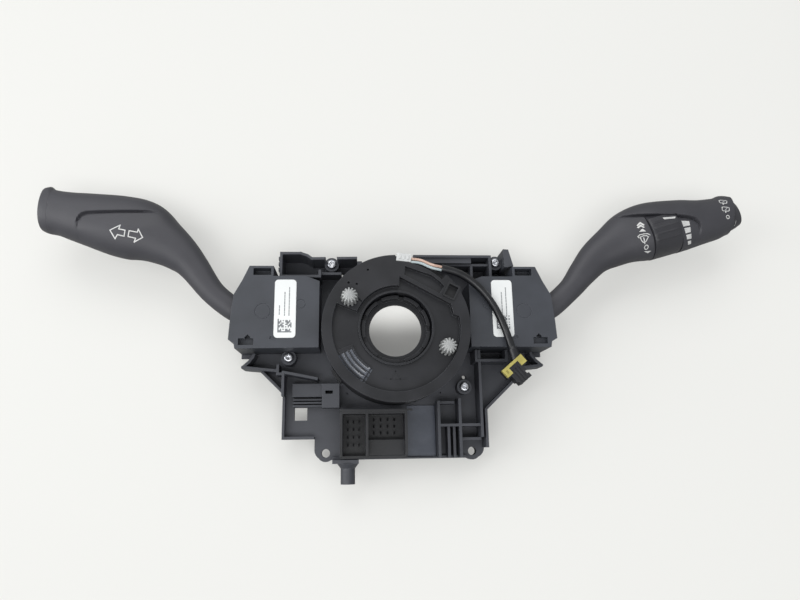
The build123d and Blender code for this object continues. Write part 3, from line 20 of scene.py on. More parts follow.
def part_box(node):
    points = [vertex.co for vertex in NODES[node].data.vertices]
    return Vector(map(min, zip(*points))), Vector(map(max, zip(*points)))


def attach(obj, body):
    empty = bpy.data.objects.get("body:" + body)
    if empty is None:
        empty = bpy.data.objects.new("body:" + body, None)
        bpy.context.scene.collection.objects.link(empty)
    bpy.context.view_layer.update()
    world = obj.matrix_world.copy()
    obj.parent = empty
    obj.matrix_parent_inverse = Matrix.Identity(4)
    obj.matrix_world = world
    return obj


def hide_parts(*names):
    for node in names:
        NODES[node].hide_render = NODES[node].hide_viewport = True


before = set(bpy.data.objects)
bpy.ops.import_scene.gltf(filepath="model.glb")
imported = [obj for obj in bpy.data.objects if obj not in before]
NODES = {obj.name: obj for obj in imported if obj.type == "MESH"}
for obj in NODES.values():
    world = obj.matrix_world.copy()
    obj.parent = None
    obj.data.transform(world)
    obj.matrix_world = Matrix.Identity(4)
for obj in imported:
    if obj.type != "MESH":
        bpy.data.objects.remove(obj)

LOG = logging.getLogger("stalk_switch")
MM = 0.001
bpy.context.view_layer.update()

Point2 = tuple[float, float]
Point3 = tuple[float, float, float]
Tree = bpy.types.NodeTree
Socket = bpy.types.NodeSocket
Piece = bpy.types.Object


# ---------------------------------------------------------------- nodes and colours
def linear(hex_colour: str) -> tuple[float, float, float, float]:
    """Turn an sRGB hex colour to linear RGBA.

    Args:
        hex_colour: six hex digits after a hash.

    Returns:
        The colour as four linear numbers, the last one 1.
    """
    channels = [int(hex_colour[i:i + 2], 16) / 255 for i in (1, 3, 5)]
    red, green, blue = (c / 12.92 if c <= 0.04045 else ((c + 0.055) / 1.055) ** 2.4 for c in channels)
    return red, green, blue, 1.0


def add_node(tree: Tree, kind: str, inputs: dict | None = None, **settings) -> bpy.types.Node:
    """Add one node with its settings and links.

    Args:
        tree: the tree that gets the node.
        kind: the node's type name.
        inputs: input name or number to a value, or to the output socket that feeds it.
        settings: the node's own attributes.

    Returns:
        The new node.
    """
    node = tree.nodes.new(kind)
    for name, value in settings.items():
        setattr(node, name, value)
    for key, value in (inputs or {}).items():
        if isinstance(value, Socket):
            tree.links.new(value, node.inputs[key])
        else:
            node.inputs[key].default_value = value
    return node


def add_math(tree: Tree, operation: str, *values: float | Socket,
             **settings) -> Socket:
    """Add one step of arithmetic and return its result."""
    step = add_node(tree, "ShaderNodeMath", dict(enumerate(values)), operation=operation, **settings)
    return step.outputs[0]


def remap(tree: Tree, value: Socket, old: Point2 = (0.0, 1.0),
          new: Point2 = (0.0, 1.0), smooth: bool = False) -> Socket:
    """Add a change of range that stops at both ends.

    Args:
        tree: the tree that gets the node.
        value: what is changed.
        old: its range.
        new: the range it gets.
        smooth: whether it eases in and out.

    Returns:
        The socket of the result.
    """
    return add_node(tree, "ShaderNodeMapRange", {"Value": value, 1: old[0], 2: old[1], 3: new[0], 4: new[1]},
                    interpolation_type="SMOOTHSTEP" if smooth else "LINEAR").outputs[0]


def empty_tree(owner: bpy.types.ID) -> Tree:
    """Give a material or a world an empty node tree."""
    owner.use_nodes = True
    owner.node_tree.nodes.clear()
    return owner.node_tree


def add_object(name: str, data: bpy.types.ID) -> Piece:
    """Make an object and link it to the scene."""
    made = bpy.data.objects.new(name, data)
    bpy.context.scene.collection.objects.link(made)
    return made


# ---------------------------------------------------------------- finishes
class Pattern(Enum):
    """How the fine relief of a surface runs."""

    GRAIN = "spark-eroded grain"
    BRUSHED = "fine lines along X"
    FIBRE = "paper fibre"


# how a pattern is drawn out along the object's axes
STRETCH: dict[Pattern, Point3] = {Pattern.BRUSHED: (0.04, 1.0, 1.0), Pattern.FIBRE: (1.0, 0.35, 1.0)}
# share of the slow noise over which one tone turns to the other
PATCH_EDGES: Point2 = (0.34, 0.66)
# how well the rounded normal agrees with the true one, on a flat face and on a corner that gets the full
# painted highlight
EDGE_HIGHLIGHT_LIMITS: Point2 = (0.995, 0.86)
# sockets of a colour Mix node: factor, first colour, second colour, and the result
MIX_SHARE, MIX_FIRST, MIX_SECOND, MIX_RESULT = 0, 6, 7, 2


@dataclass(frozen=True)
class Finish:
    """One real material and how its surface was made.

    colour and shade are the two tones it wanders between, and edge is the lighter tone painted on
    rounded corners as a highlight. Sizes are millimetres.
    """

    name: str
    colour: str
    shade: str
    edge: str
    roughness: float
    spread: float = 0.05
    grain: float = 0.6
    relief: float = 0.012
    mottle: float = 22.0
    corner: float = 0.35
    # share of the edge tone painted on the corners as a highlight
    edge_highlight_strength: float = 0.5
    metallic: float = 0.0
    ior: float = 1.5
    coat: float = 0.0
    coat_roughness: float = 0.1
    pattern: Pattern = Pattern.GRAIN

    def _height(self, tree: Tree, place: Socket) -> Socket:
        """Build the relief's height.

        Args:
            tree: the material's tree.
            place: object coordinates in metres.

        Returns:
            The socket that carries the height.
        """
        scale = 1 / (self.grain * MM)
        if self.pattern in STRETCH:
            place = add_node(tree, "ShaderNodeMapping", {
                "Vector": place, "Scale": STRETCH[self.pattern]}).outputs["Vector"]
        fine = add_node(tree, "ShaderNodeTexNoise", {
            "Vector": place, "Scale": scale, "Detail": 3.0, "Roughness": 0.6}).outputs["Fac"]
        if self.pattern is not Pattern.GRAIN:
            return fine
        cells = add_node(tree, "ShaderNodeTexVoronoi", {"Vector": place, "Scale": scale * 0.8},
                         feature="SMOOTH_F1").outputs["Distance"]
        return add_math(tree, "ADD", fine, cells)

    def _colour(self, tree: Tree, patches: Socket,
                rounded: Socket) -> Socket:
        """Mix the two tones in patches and paint a highlight on the corners.

        Args:
            tree: the material's tree.
            patches: slow noise from 0 to 1.
            rounded: the normal with its corners rounded.

        Returns:
            The socket that carries the colour.
        """
        tone = add_node(tree, "ShaderNodeMix", {
            MIX_SHARE: patches, MIX_FIRST: linear(self.colour), MIX_SECOND: linear(self.shade)},
            data_type="RGBA").outputs[MIX_RESULT]
        true_normal = add_node(tree, "ShaderNodeNewGeometry").outputs["Normal"]
        agreement = add_node(tree, "ShaderNodeVectorMath", {0: rounded, 1: true_normal},
                             operation="DOT_PRODUCT").outputs["Value"]
        # painted highlight: where the rounded normal leaves the true one, the colour turns to the lighter
        # edge tone
        painted_edge_highlight = remap(tree, agreement, EDGE_HIGHLIGHT_LIMITS, (0.0, self.edge_highlight_strength))
        return add_node(tree, "ShaderNodeMix", {
            MIX_SHARE: painted_edge_highlight, MIX_FIRST: tone, MIX_SECOND: linear(self.edge)},
            data_type="RGBA").outputs[MIX_RESULT]

    def material(self) -> bpy.types.Material:
        """Build the material, or return it where it exists.

        Returns:
            The Blender material of this finish.
        """
        known = bpy.data.materials.get(self.name)
        if known is not None:
            return known
        made = bpy.data.materials.new(self.name)
        tree = empty_tree(made)
        place = add_node(tree, "ShaderNodeTexCoord").outputs["Object"]
        slow = add_node(tree, "ShaderNodeTexNoise", {
            "Vector": place, "Scale": 1 / (self.mottle * MM), "Detail": 4.0})
        patches = remap(tree, slow.outputs["Fac"], PATCH_EDGES)
        rounded = add_node(tree, "ShaderNodeBevel", {"Radius": self.corner * MM}, samples=4).outputs["Normal"]
        rough = remap(tree, patches, new=(self.roughness - self.spread, self.roughness + self.spread))
        bump = add_node(tree, "ShaderNodeBump", {
            "Height": self._height(tree, place), "Normal": rounded, "Strength": 1.0,
            "Distance": self.relief * MM})
        shader = add_node(tree, "ShaderNodeBsdfPrincipled", {
            "Base Color": self._colour(tree, patches, rounded), "Roughness": rough, "Metallic": self.metallic,
            "IOR": self.ior, "Coat Weight": self.coat, "Coat Roughness": self.coat_roughness,
            "Normal": bump.outputs["Normal"]})
        add_node(tree, "ShaderNodeOutputMaterial", {"Surface": shader.outputs["BSDF"]})
        return made


# Glass-filled nylon, moulded in a spark-eroded tool: a dry dark grey with a soft wide sheen.
CARRIER_NYLON = Finish("glass_filled_nylon_moulded", "#35373d", "#3f4147", "#666972", 0.52,
                       grain=0.5, relief=0.014)
# The same nylon from a finer tool on the switch cases: a little bluer and greyer in the light.
CASE_NYLON = Finish("nylon_fine_grain_case", "#33363c", "#3c3f46", "#6c7078", 0.50, grain=0.45, relief=0.012)
# Acetal of the turning face: darker and smoother, so it mirrors the room in broad soft bands.
ROTOR_ACETAL = Finish("acetal_satin_moulded", "#131418", "#1b1c21", "#5a5d64", 0.36, grain=0.9, relief=0.006)
# The same acetal, polished and glassy in a patch of strips; its greyer colour is a painted sheen where the
# patch catches the lamps.
POLISHED_PAD_PAINTED_SHEEN = Finish("acetal_polished_insert", "#4a4e56", "#5a5f68", "#767b84", 0.22, relief=0.05, grain=6.0,
                      coat=0.4)
# Polyester of the drum and the deep shroud: nearly black with a dull sheen.
SHROUD_POLYESTER = Finish("glass_filled_polyester_moulded", "#101114", "#1a1b1f", "#464950", 0.44,
                          relief=0.012)
# Soft-feel grain of the stalks: matt charcoal, a broad grey sheen along the ridge, no sharp glint.
STALK_GRAIN = Finish("stalk_fine_leather_grain", "#35353a", "#3d3d42", "#56565c", 0.50, spread=0.04,
                     grain=0.75, relief=0.030, mottle=30.0, corner=0.5, edge_highlight_strength=0.25)
# The interval ring and the end pieces come from a polished tool: smoother than the shells.
STALK_SMOOTH = Finish("stalk_satin_moulded", "#29292d", "#303035", "#56565c", 0.42, grain=0.6, relief=0.012,
                      corner=0.5, edge_highlight_strength=0.3)
# Natural acetal of gears and rocker frames: milky and slightly waxy.
NATURAL_ACETAL = Finish("natural_acetal", "#dedbd0", "#d2cec2", "#ebe8df", 0.38, relief=0.006)
# White acetal of the splined pins: clean, with a waxy gloss that picks out each rib.
PIN_ACETAL = Finish("white_acetal_moulded", "#a8aaa9", "#9a9c9c", "#cdcecd", 0.36, relief=0.004, mottle=6.0)
# White nylon of the wire plug: clean and matt.
PLUG_NYLON = Finish("white_nylon_moulded", "#d0d2d1", "#c2c4c4", "#e6e7e6", 0.45, relief=0.005, mottle=6.0)
# Polyester flat cable: amber film over copper tracks.
RIBBON_FILM = Finish("polyester_flat_cable", "#9a5a22", "#86491a", "#b67a3d", 0.26, relief=0.004)
# Glass-epoxy board under green solder mask.
BOARD_EPOXY = Finish("glass_epoxy_solder_mask", "#17452b", "#1d5234", "#3a7a55", 0.34,
                     relief=0.008, grain=0.4)
# Tinned brass blades in the deep bay, coloured dull and dark as painted shade of the bay.
TINNED_BRASS_PAINTED_SHADE = Finish("tinned_brass", "#1f1f21", "#19191b", "#2c2c2e", 0.60, metallic=1.0, relief=0.004,
                      pattern=Pattern.BRUSHED, grain=0.2)
# Zinc-plated steel screws: bright with a faint milky patch.
ZINC_PLATE = Finish("zinc_plated_steel", "#c4c5c8", "#a9acb2", "#ececec", 0.30, metallic=1.0, relief=0.003,
                    mottle=2.5, corner=0.2)
# Spring steel: a little darker than the zinc.
SPRING_STEEL = Finish("spring_steel", "#8f9196", "#7d8086", "#b9bbc0", 0.28, metallic=1.0, relief=0.003,
                      pattern=Pattern.BRUSHED, grain=0.3)
# Calendered polyester film: bluish grey, smooth, with a sharp reflection.
SEAL_FILM = Finish("calendered_polyester_film", "#434751", "#4f545f", "#656a76", 0.20, spread=0.06,
                   relief=0.35, grain=11.0, coat=0.5, coat_roughness=0.08)
# Coated label paper: flat white with the faintest fibre.
LABEL_PAPER = Finish("coated_label_paper", "#e9ebea", "#e2e5e5", "#f2f2f0", 0.62, relief=0.002, grain=0.5,
                     pattern=Pattern.FIBRE)
# Thermal print: soft grey marks, never quite black.
LABEL_PRINT = Finish("thermal_print", "#6c6f72", "#85888b", "#8d9093", 0.60, relief=0.001, mottle=3.0)
# Pad-printed white ink: thin and slightly warm.
MARK_INK = Finish("pad_printed_white_ink", "#d6d6d4", "#c4c5c4", "#e0e0de", 0.50, relief=0.004, mottle=5.0)
# Extruded vinyl sleeve: black with a soft silky highlight along its length.
SLEEVE_VINYL = Finish("extruded_vinyl_sleeve", "#121316", "#1a1b1f", "#46484c", 0.33, grain=1.4,
                      relief=0.020, mottle=9.0)
# Wire insulation: thin-wall vinyl, glossy, in two colours.
WIRE_ORANGE = Finish("vinyl_insulation_orange", "#cdb0a0", "#bf9c8a", "#e2cfc4", 0.32,
                     relief=0.004, mottle=4.0)
WIRE_WHITE = Finish("vinyl_insulation_white", "#b9c4c6", "#a6b4b7", "#d6dcdd", 0.32, relief=0.004, mottle=4.0)
# Acetal lock: muted warm yellow, waxy.
LOCK_ACETAL = Finish("yellow_acetal_moulded", "#b5ab60", "#a1974e", "#d6ce8c", 0.36, relief=0.006, mottle=5.0)

NODE_FINISH: dict[str, Finish] = {
    "carrier": CARRIER_NYLON, "electronics_shroud": SHROUD_POLYESTER, "spigot": CARRIER_NYLON,
    "rear_box": CARRIER_NYLON, "main_board": BOARD_EPOXY, "terminal_blades": TINNED_BRASS_PAINTED_SHADE,
    "sealing_film": SEAL_FILM, "case_screws": ZINC_PLATE, "stator_drum": SHROUD_POLYESTER,
    "stator_lid": SHROUD_POLYESTER, "ribbon_coil": RIBBON_FILM, "rotor_disc": ROTOR_ACETAL,
    "rotor_hub": ROTOR_ACETAL, "drive_pins": PIN_ACETAL, "outlet_socket": SHROUD_POLYESTER,
    "outlet_plug": PLUG_NYLON, "sensor_ring": NATURAL_ACETAL, "measuring_gear_a": NATURAL_ACETAL,
    "measuring_gear_b": NATURAL_ACETAL, "interval_ring": STALK_SMOOTH, "end_knob": STALK_SMOOTH,
    "left_end_cap": STALK_GRAIN, "wire_orange": WIRE_ORANGE, "wire_white": WIRE_WHITE,
    "pigtail_sleeve": SLEEVE_VINYL, "pigtail_boot": SLEEVE_VINYL, "pigtail_connector": SHROUD_POLYESTER,
    "connector_lock": LOCK_ACETAL,
}
SIDE_FINISH: dict[str, Finish] = {
    "switch_case": CASE_NYLON, "switch_base": CASE_NYLON, "contact_board": BOARD_EPOXY,
    "terminal_pins": TINNED_BRASS_PAINTED_SHADE, "rocker": NATURAL_ACETAL, "cross_pin": SPRING_STEEL,
    "detent_spring": SPRING_STEEL, "return_spring": SPRING_STEEL, "label": LABEL_PAPER,
    "lever": CARRIER_NYLON, "stalk_front": STALK_GRAIN, "stalk_back": STALK_GRAIN,
}


def dress_nodes() -> None:
    """Give every carried-over solid its finish."""
    named = dict(NODE_FINISH)
    for side in ("left", "right"):
        named.update({f"{side}_{part}": finish for part, finish in SIDE_FINISH.items()})
    for name, node in NODES.items():
        for slot in node.material_slots:
            slot.material = named[name].material()


# ---------------------------------------------------------------- meshes
CREASE = 38.0


def new_piece(name: str, points: Iterable[Sequence[float]], faces: Iterable[Sequence[int]], finish: Finish,
              crease: float = CREASE) -> Piece:
    """Make a piece from points in metres.

    Args:
        name: the piece's name.
        points: vertices in the part's frame.
        faces: vertex numbers of each face.
        finish: its material.
        crease: angle in degrees past which an edge stays sharp.

    Returns:
        The linked object, at the origin.
    """
    mesh = bpy.data.meshes.new(name)
    mesh.from_pydata([tuple(p) for p in points], [], [tuple(f) for f in faces])
    mesh.validate()
    return finished(name, mesh, finish, crease)


def finished(name: str, mesh: bpy.types.Mesh, finish: Finish, crease: float = CREASE) -> Piece:
    """Link a mesh as a piece, with outward normals and smooth faces.

    Args:
        name: the piece's name.
        mesh: its mesh in the part's frame, in metres.
        finish: its material.
        crease: angle in degrees past which an edge stays sharp.

    Returns:
        The linked object.
    """
    work = bmesh.new()
    work.from_mesh(mesh)
    bmesh.ops.remove_doubles(work, verts=work.verts, dist=1e-6)
    bmesh.ops.recalc_face_normals(work, faces=work.faces)
    work.to_mesh(mesh)
    work.free()
    mesh.shade_smooth()
    mesh.set_sharp_from_angle(angle=math.radians(crease))
    mesh.materials.clear()
    mesh.materials.append(finish.material())
    return add_object(name, mesh)


def settle(piece: Piece, finish: Finish, crease: float = CREASE) -> Piece:
    """Turn an object's evaluated result into a plain mesh piece of the same name.

    Args:
        piece: an object with modifiers or a bevelled curve.
        finish: its material.
        crease: angle in degrees past which an edge stays sharp.

    Returns:
        The plain piece that takes its place.
    """
    graph = bpy.context.evaluated_depsgraph_get()
    mesh = bpy.data.meshes.new_from_object(piece.evaluated_get(graph))
    name = piece.name
    bpy.data.objects.remove(piece)
    return finished(name, mesh, finish, crease)


def solid_of_rings(name: str, points: Sequence[Point3], columns: int, finish: Finish,
                   crease: float = CREASE) -> Piece:
    """Close rings of vertices into a solid piece with a face at each end.

    Args:
        name: the piece's name.
        points: the rings' vertices, ring after ring, in metres.
        columns: vertices in a ring.
        finish: its material.
        crease: angle in degrees past which an edge stays sharp.

    Returns:
        The piece.
    """
    last = len(points) - columns
    faces = [(r + c, r + (c + 1) % columns, r + columns + (c + 1) % columns, r + columns + c)
             for r in range(0, last, columns) for c in range(columns)]
    faces += [tuple(range(columns)), tuple(range(last, len(points)))]
    return new_piece(name, points, faces, finish, crease)


def smooth_rows(rows: Sequence[Sequence[float]], steps: int) -> list[list[float]]:
    """Run a smooth curve through rows of numbers.

    Args:
        rows: the rows it passes through.
        steps: rows made between each two.

    Returns:
        The denser rows.
    """
    made = []
    last = len(rows) - 1
    for index in range(last):
        around = rows[max(index - 1, 0)], rows[index], rows[index + 1], rows[min(index + 2, last)]
        for step in range(steps):
            t = step / steps
            made.append([0.5 * (2 * q + (r - p) * t + (2 * p - 5 * q + 4 * r - s) * t * t
                                + (3 * q - p - 3 * r + s) * t ** 3) for p, q, r, s in zip(*around)])
    made.append(list(rows[-1]))
    return made


def angles(count: int) -> list[float]:
    """Even angles round a circle, in radians."""
    return [2 * math.pi * index / count for index in range(count)]


def polar(radius: float, degrees: float) -> Point2:
    """Place of a point on a circle."""
    return radius * math.cos(math.radians(degrees)), radius * math.sin(math.radians(degrees))


def square(half: float, height: float) -> list[Point3]:
    """Corners of a level square about the Z axis."""
    return [(-half, -half, height), (half, -half, height), (half, half, height), (-half, half, height)]


def ease(value: float, low: float, high: float) -> float:
    """Smooth step from 0 at low to 1 at high."""
    t = min(max((value - low) / (high - low), 0.0), 1.0)
    return t * t * (3 - 2 * t)


def cut_with(piece: Piece, tool: Piece, finish: Finish) -> Piece:
    """Cut a closed tool out of a closed piece.

    Args:
        piece: the piece.
        tool: what is cut away; it is removed afterwards.
        finish: the piece's material.

    Returns:
        The cut piece.
    """
    cut = piece.modifiers.new("cut", "BOOLEAN")
    cut.operation = "DIFFERENCE"
    cut.solver = "EXACT"
    cut.object = tool
    made = settle(piece, finish)
    bpy.data.objects.remove(tool)
    return made


def hand_over(piece: Piece, body: str) -> None:
    """Let a piece ride on a body and log it."""
    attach(piece, body)
    LOG.info("%s: %d faces", piece.name, len(piece.data.polygons))


# ---------------------------------------------------------------- repeats by rule
class Recipe:
    """Geometry Nodes tree with named inputs, whose result becomes a plain mesh."""

    def __init__(self, name: str, inputs: dict[str, str]) -> None:
        """Start the tree.

        Args:
            name: its name.
            inputs: each input's name and the kind of its socket.
        """
        self.tree = bpy.data.node_groups.new(name, "GeometryNodeTree")
        for label, kind in inputs.items():
            self.tree.interface.new_socket(label, in_out="INPUT", socket_type=f"NodeSocket{kind}")
        self.tree.interface.new_socket("Geometry", in_out="OUTPUT", socket_type="NodeSocketGeometry")
        self.inputs = add_node(self.tree, "NodeGroupInput").outputs

    def end(self, geometry: Socket) -> None:
        """Set the material and close the tree."""
        done = add_node(self.tree, "GeometryNodeSetMaterial", {
            "Geometry": geometry, "Material": self.inputs["Finish"]})
        add_node(self.tree, "NodeGroupOutput", {"Geometry": done.outputs[0]})

    def apply(self, name: str, points: Sequence[Point3], values: dict, finish: Finish,
              crease: float = CREASE) -> Piece:
        """Run the tree on a host.

        Args:
            name: the piece's name.
            points: the host's points in millimetres.
            values: input name to value, apart from the finish.
            finish: the material.
            crease: angle in degrees past which an edge stays sharp.

        Returns:
            The plain piece.
        """
        mesh = bpy.data.meshes.new(name)
        mesh.from_pydata([tuple(value * MM for value in point) for point in points], [], [])
        host = add_object(name, mesh)
        modifier = host.modifiers.new("recipe", "NODES")
        modifier.node_group = self.tree
        values = {**values, "Finish": finish.material()}
        for item in self.tree.interface.items_tree:
            if item.item_type == "SOCKET" and item.in_out == "INPUT" and item.name in values:
                modifier[item.identifier] = values[item.name]
        return settle(host, finish, crease)


class Repeat(Recipe):
    """Copies of a template on a host's points."""

    def __init__(self) -> None:
        """Build the tree once."""
        super().__init__("copies_on_points", {
            "Points": "Geometry", "Template": "Object", "Finish": "Material", "Turn spread": "Float",
            "Face outwards": "Bool", "Seed": "Int"})
        tree, inside = self.tree, self.inputs
        shape = add_node(tree, "GeometryNodeObjectInfo", {"Object": inside["Template"]}).outputs["Geometry"]
        spot = add_node(tree, "GeometryNodeInputPosition").outputs["Position"]
        flat = add_node(tree, "ShaderNodeVectorMath", {0: spot, 1: (1.0, 1.0, 0.0)},
                        operation="MULTIPLY").outputs[0]
        outward = add_node(tree, "FunctionNodeAlignRotationToVector", {"Vector": flat},
                           axis="X", pivot_axis="Z").outputs[0]
        facing = add_node(tree, "GeometryNodeSwitch", {"Switch": inside["Face outwards"], "True": outward},
                          input_type="ROTATION").outputs[0]
        turn = add_node(tree, "FunctionNodeRandomValue", {"Seed": inside["Seed"]},
                        data_type="FLOAT").outputs[1]
        span = add_math(tree, "MULTIPLY", turn, inside["Turn spread"])
        about = add_node(tree, "ShaderNodeCombineXYZ", {"Z": span}).outputs[0]
        local = add_node(tree, "FunctionNodeEulerToRotation", {0: about}).outputs[0]
        both = add_node(tree, "FunctionNodeRotateRotation", {0: facing, 1: local},
                        rotation_space="LOCAL").outputs[0]
        copies = add_node(tree, "GeometryNodeInstanceOnPoints", {
            "Points": inside["Points"], "Instance": shape, "Rotation": both})
        self.end(add_node(tree, "GeometryNodeRealizeInstances", {"Geometry": copies.outputs[0]}).outputs[0])

    def place(self, name: str, template: Piece, places: Sequence[Point3], finish: Finish,
              outward: bool = False, turn_spread: float = 0.0, seed: int = 1) -> Piece:
        """Set copies of a template at places and make them one mesh.

        Args:
            name: the piece's name.
            template: the shape at the origin; it is removed afterwards.
            places: where the copies go, in millimetres.
            finish: their material.
            outward: whether each copy's X axis points away from the column axis.
            turn_spread: largest random turn about Z, in radians.
            seed: seed of those turns.

        Returns:
            The piece.
        """
        made = self.apply(name, places, {
            "Template": template, "Turn spread": turn_spread, "Face outwards": outward, "Seed": seed}, finish)
        bpy.data.objects.remove(template)
        return made


class Fluted(Recipe):
    """A fluted post: a cylinder whose radius follows the angle and the height.

    FLANK is the part of the cosine wave over which a rib falls to its groove, and TOP_SHARE the share
    of the height above which the end face is domed.
    """

    FLANK: Point2 = (-0.35, 0.35)
    TOP_SHARE = 0.92
    DOME_POWER = 3.0

    def __init__(self) -> None:
        """Build the tree once."""
        super().__init__("fluted_post", {
            "Ribs": "Int", "Radius": "Float", "Tip radius": "Float", "Height": "Float", "Rib depth": "Float",
            "Dome": "Float", "Finish": "Material"})
        tree, inside = self.tree, self.inputs
        calc = partial(add_math, tree)
        post = add_node(tree, "GeometryNodeMeshCylinder", {
            "Vertices": calc("MULTIPLY", inside["Ribs"], 10.0), "Side Segments": 14, "Fill Segments": 5,
            "Radius": inside["Radius"], "Depth": inside["Height"]}).outputs["Mesh"]
        position = add_node(tree, "GeometryNodeInputPosition").outputs[0]
        spot = add_node(tree, "ShaderNodeSeparateXYZ", {0: position}).outputs
        x, y = spot["X"], spot["Y"]
        wave = calc("COSINE", calc("MULTIPLY", calc("ARCTAN2", y, x), inside["Ribs"]))
        rib = remap(tree, wave, self.FLANK, (1.0, 0.0), smooth=True)
        share = calc("ADD", calc("DIVIDE", spot["Z"], inside["Height"]), 0.5)
        narrowing = calc("MULTIPLY", share, calc("SUBTRACT", inside["Radius"], inside["Tip radius"]))
        taper = calc("SUBTRACT", inside["Radius"], narrowing)
        groove = calc("MULTIPLY", rib, inside["Rib depth"])
        outer = calc("DIVIDE", calc("SUBTRACT", taper, groove), inside["Radius"])
        away = calc("SQRT", calc("ADD", calc("MULTIPLY", x, x), calc("MULTIPLY", y, y)))
        bowl = calc("POWER", calc("DIVIDE", away, inside["Radius"]), self.DOME_POWER)
        near_top = calc("GREATER_THAN", share, self.TOP_SHARE)
        sink = calc("MULTIPLY", near_top, calc("MULTIPLY", inside["Dome"], bowl))
        height = calc("SUBTRACT", calc("MULTIPLY", share, inside["Height"]), sink)
        moved = add_node(tree, "ShaderNodeCombineXYZ", {
            "X": calc("MULTIPLY", x, outer), "Y": calc("MULTIPLY", y, outer), "Z": height}).outputs[0]
        self.end(add_node(tree, "GeometryNodeSetPosition", {"Geometry": post, "Position": moved}).outputs[0])

    def make(self, name: str, ribs: int, radius: float, tip: float, height: float, depth: float, dome: float,
             finish: Finish) -> Piece:
        """Make one post that stands on the origin.

        Args:
            name: the object's name.
            ribs: number of ribs.
            radius: radius at the foot, in millimetres.
            tip: radius at the top.
            height: its height.
            depth: depth of the grooves.
            dome: how far the rim of its top sinks.
            finish: its material.

        Returns:
            The post as a plain mesh.
        """
        lengths = {"Radius": radius, "Tip radius": tip, "Height": height, "Rib depth": depth, "Dome": dome}
        values = {label: length * MM for label, length in lengths.items()}
        return self.apply(name, (), {"Ribs": ribs, **values}, finish, crease=50.0)


# ---------------------------------------------------------------- printed marks
@dataclass
class Marks:
    """Flat printed marks, drawn in millimetres as seen from the front and laid on a surface."""

    width: float = 0.5
    lift: float = 0.08
    step: float = 0.5
    rounds: int = 6
    shapes: list[list[Point2]] = field(default_factory=list)

    def area(self, points: Sequence[Point2]) -> None:
        """Add a filled outline."""
        self.shapes.append(list(points))

    def line(self, points: Sequence[Point2], width: float | None = None, closed: bool = False) -> None:
        """Add a line of even width.

        Args:
            points: its corners.
            width: its width, or the usual one.
            closed: whether it returns to its start.
        """
        half = (width or self.width) / 2
        row = list(points) + ([points[0]] if closed else [])
        for (x0, y0), (x1, y1) in zip(row, row[1:]):
            length = math.hypot(x1 - x0, y1 - y0)
            ux, uy = (x1 - x0) / length * half, (y1 - y0) / length * half
            self.area([(x0 - ux - uy, y0 - uy + ux), (x1 + ux - uy, y1 + uy + ux),
                       (x1 + ux + uy, y1 + uy - ux), (x0 - ux + uy, y0 - uy - ux)])

    def ring(self, x: float, y: float, radius: float, width: float | None = None) -> None:
        """Add a round line about a centre."""
        self.line([(x + radius * math.cos(angle), y + radius * math.sin(angle)) for angle in angles(16)],
                  width, closed=True)

    def lay(self, name: str, surface: Piece, finish: Finish, top: float = 60.0) -> Piece:
        """Drop the marks onto a surface from the front.

        Args:
            name: the piece's name.
            surface: the piece that carries them.
            finish: the ink.
            top: height from which they are dropped.

        Returns:
            The marks as one piece.
        """
        target = BVHTree.FromObject(surface, bpy.context.evaluated_depsgraph_get())
        work = bmesh.new()
        for shape in self.shapes:
            made = work.faces.new([work.verts.new((x * MM, y * MM, 0)) for x, y in shape])
            bmesh.ops.triangulate(work, faces=[made])
        for _ in range(self.rounds):
            long_edges = [edge for edge in work.edges if edge.calc_length() > self.step * MM]
            if not long_edges:
                break
            bmesh.ops.subdivide_edges(work, edges=long_edges, cuts=1)
            bmesh.ops.triangulate(work, faces=[face for face in work.faces if len(face.verts) > 3])
        for vertex in work.verts:
            hit = target.ray_cast(Vector((vertex.co.x, vertex.co.y, top * MM)), Vector((0, 0, -1)))[0]
            if hit is not None:
                vertex.co.z = hit.z + self.lift * MM
        bmesh.ops.delete(work, geom=[vertex for vertex in work.verts if vertex.co.z == 0], context="VERTS")
        mesh = bpy.data.meshes.new(name)
        work.to_mesh(mesh)
        work.free()
        piece = finished(name, mesh, finish)
        for polygon in piece.data.polygons:
            if polygon.normal.z < 0:
                polygon.flip()
        return piece


# ---------------------------------------------------------------- stalks
@dataclass(frozen=True)
class Recess:
    """Thumb hollow in a stalk's front, deepest under a sharp upper edge and rising again below it.

    A groove runs just inside its border, and a proud band stands just outside. The pairs say where
    something comes in or ends: fade and band_end from the border's start, band across the border.
    """

    border: tuple[Point2, ...]
    depth: float = 1.5
    groove: float = 1.0
    shoulder: float = 0.5
    reach: float = 12.0
    proud: float = 0.3
    full_below: float = 2.0
    fade: Point2 = (-6.0, 12.0)
    groove_inset: float = 0.3
    groove_half: float = 0.7
    band: Point2 = (-0.3, 0.1)
    band_end: Point2 = (42.0, 56.0)

    def sink(self, x: float, y: float) -> float:
        """How far the surface sinks at a place.

        Args:
            x: distance from the column axis.
            y: height.

        Returns:
            The depth in millimetres.
        """
        inside = min(((x - x0) * (y1 - y0) - (y - y0) * (x1 - x0)) / math.hypot(x1 - x0, y1 - y0)
                     for (x0, y0), (x1, y1) in zip(self.border, self.border[1:]))
        start_x, start_y = self.border[0]
        full = start_y - self.full_below
        fade = ease(x, *(start_x + part for part in self.fade))
        ramp = ease(y, full - self.reach, full)
        panel = self.depth * ease(inside, -self.shoulder / 2, self.shoulder / 2)
        groove = self.groove * (1.0 - ease(abs(inside - self.groove_inset), 0.0, self.groove_half))
        band_end = ease(x, *(start_x + part for part in self.band_end))
        band = self.proud * (1.0 - ease(inside, *self.band)) * (1.0 - band_end)
        return ((panel + groove) * ramp - band) * fade


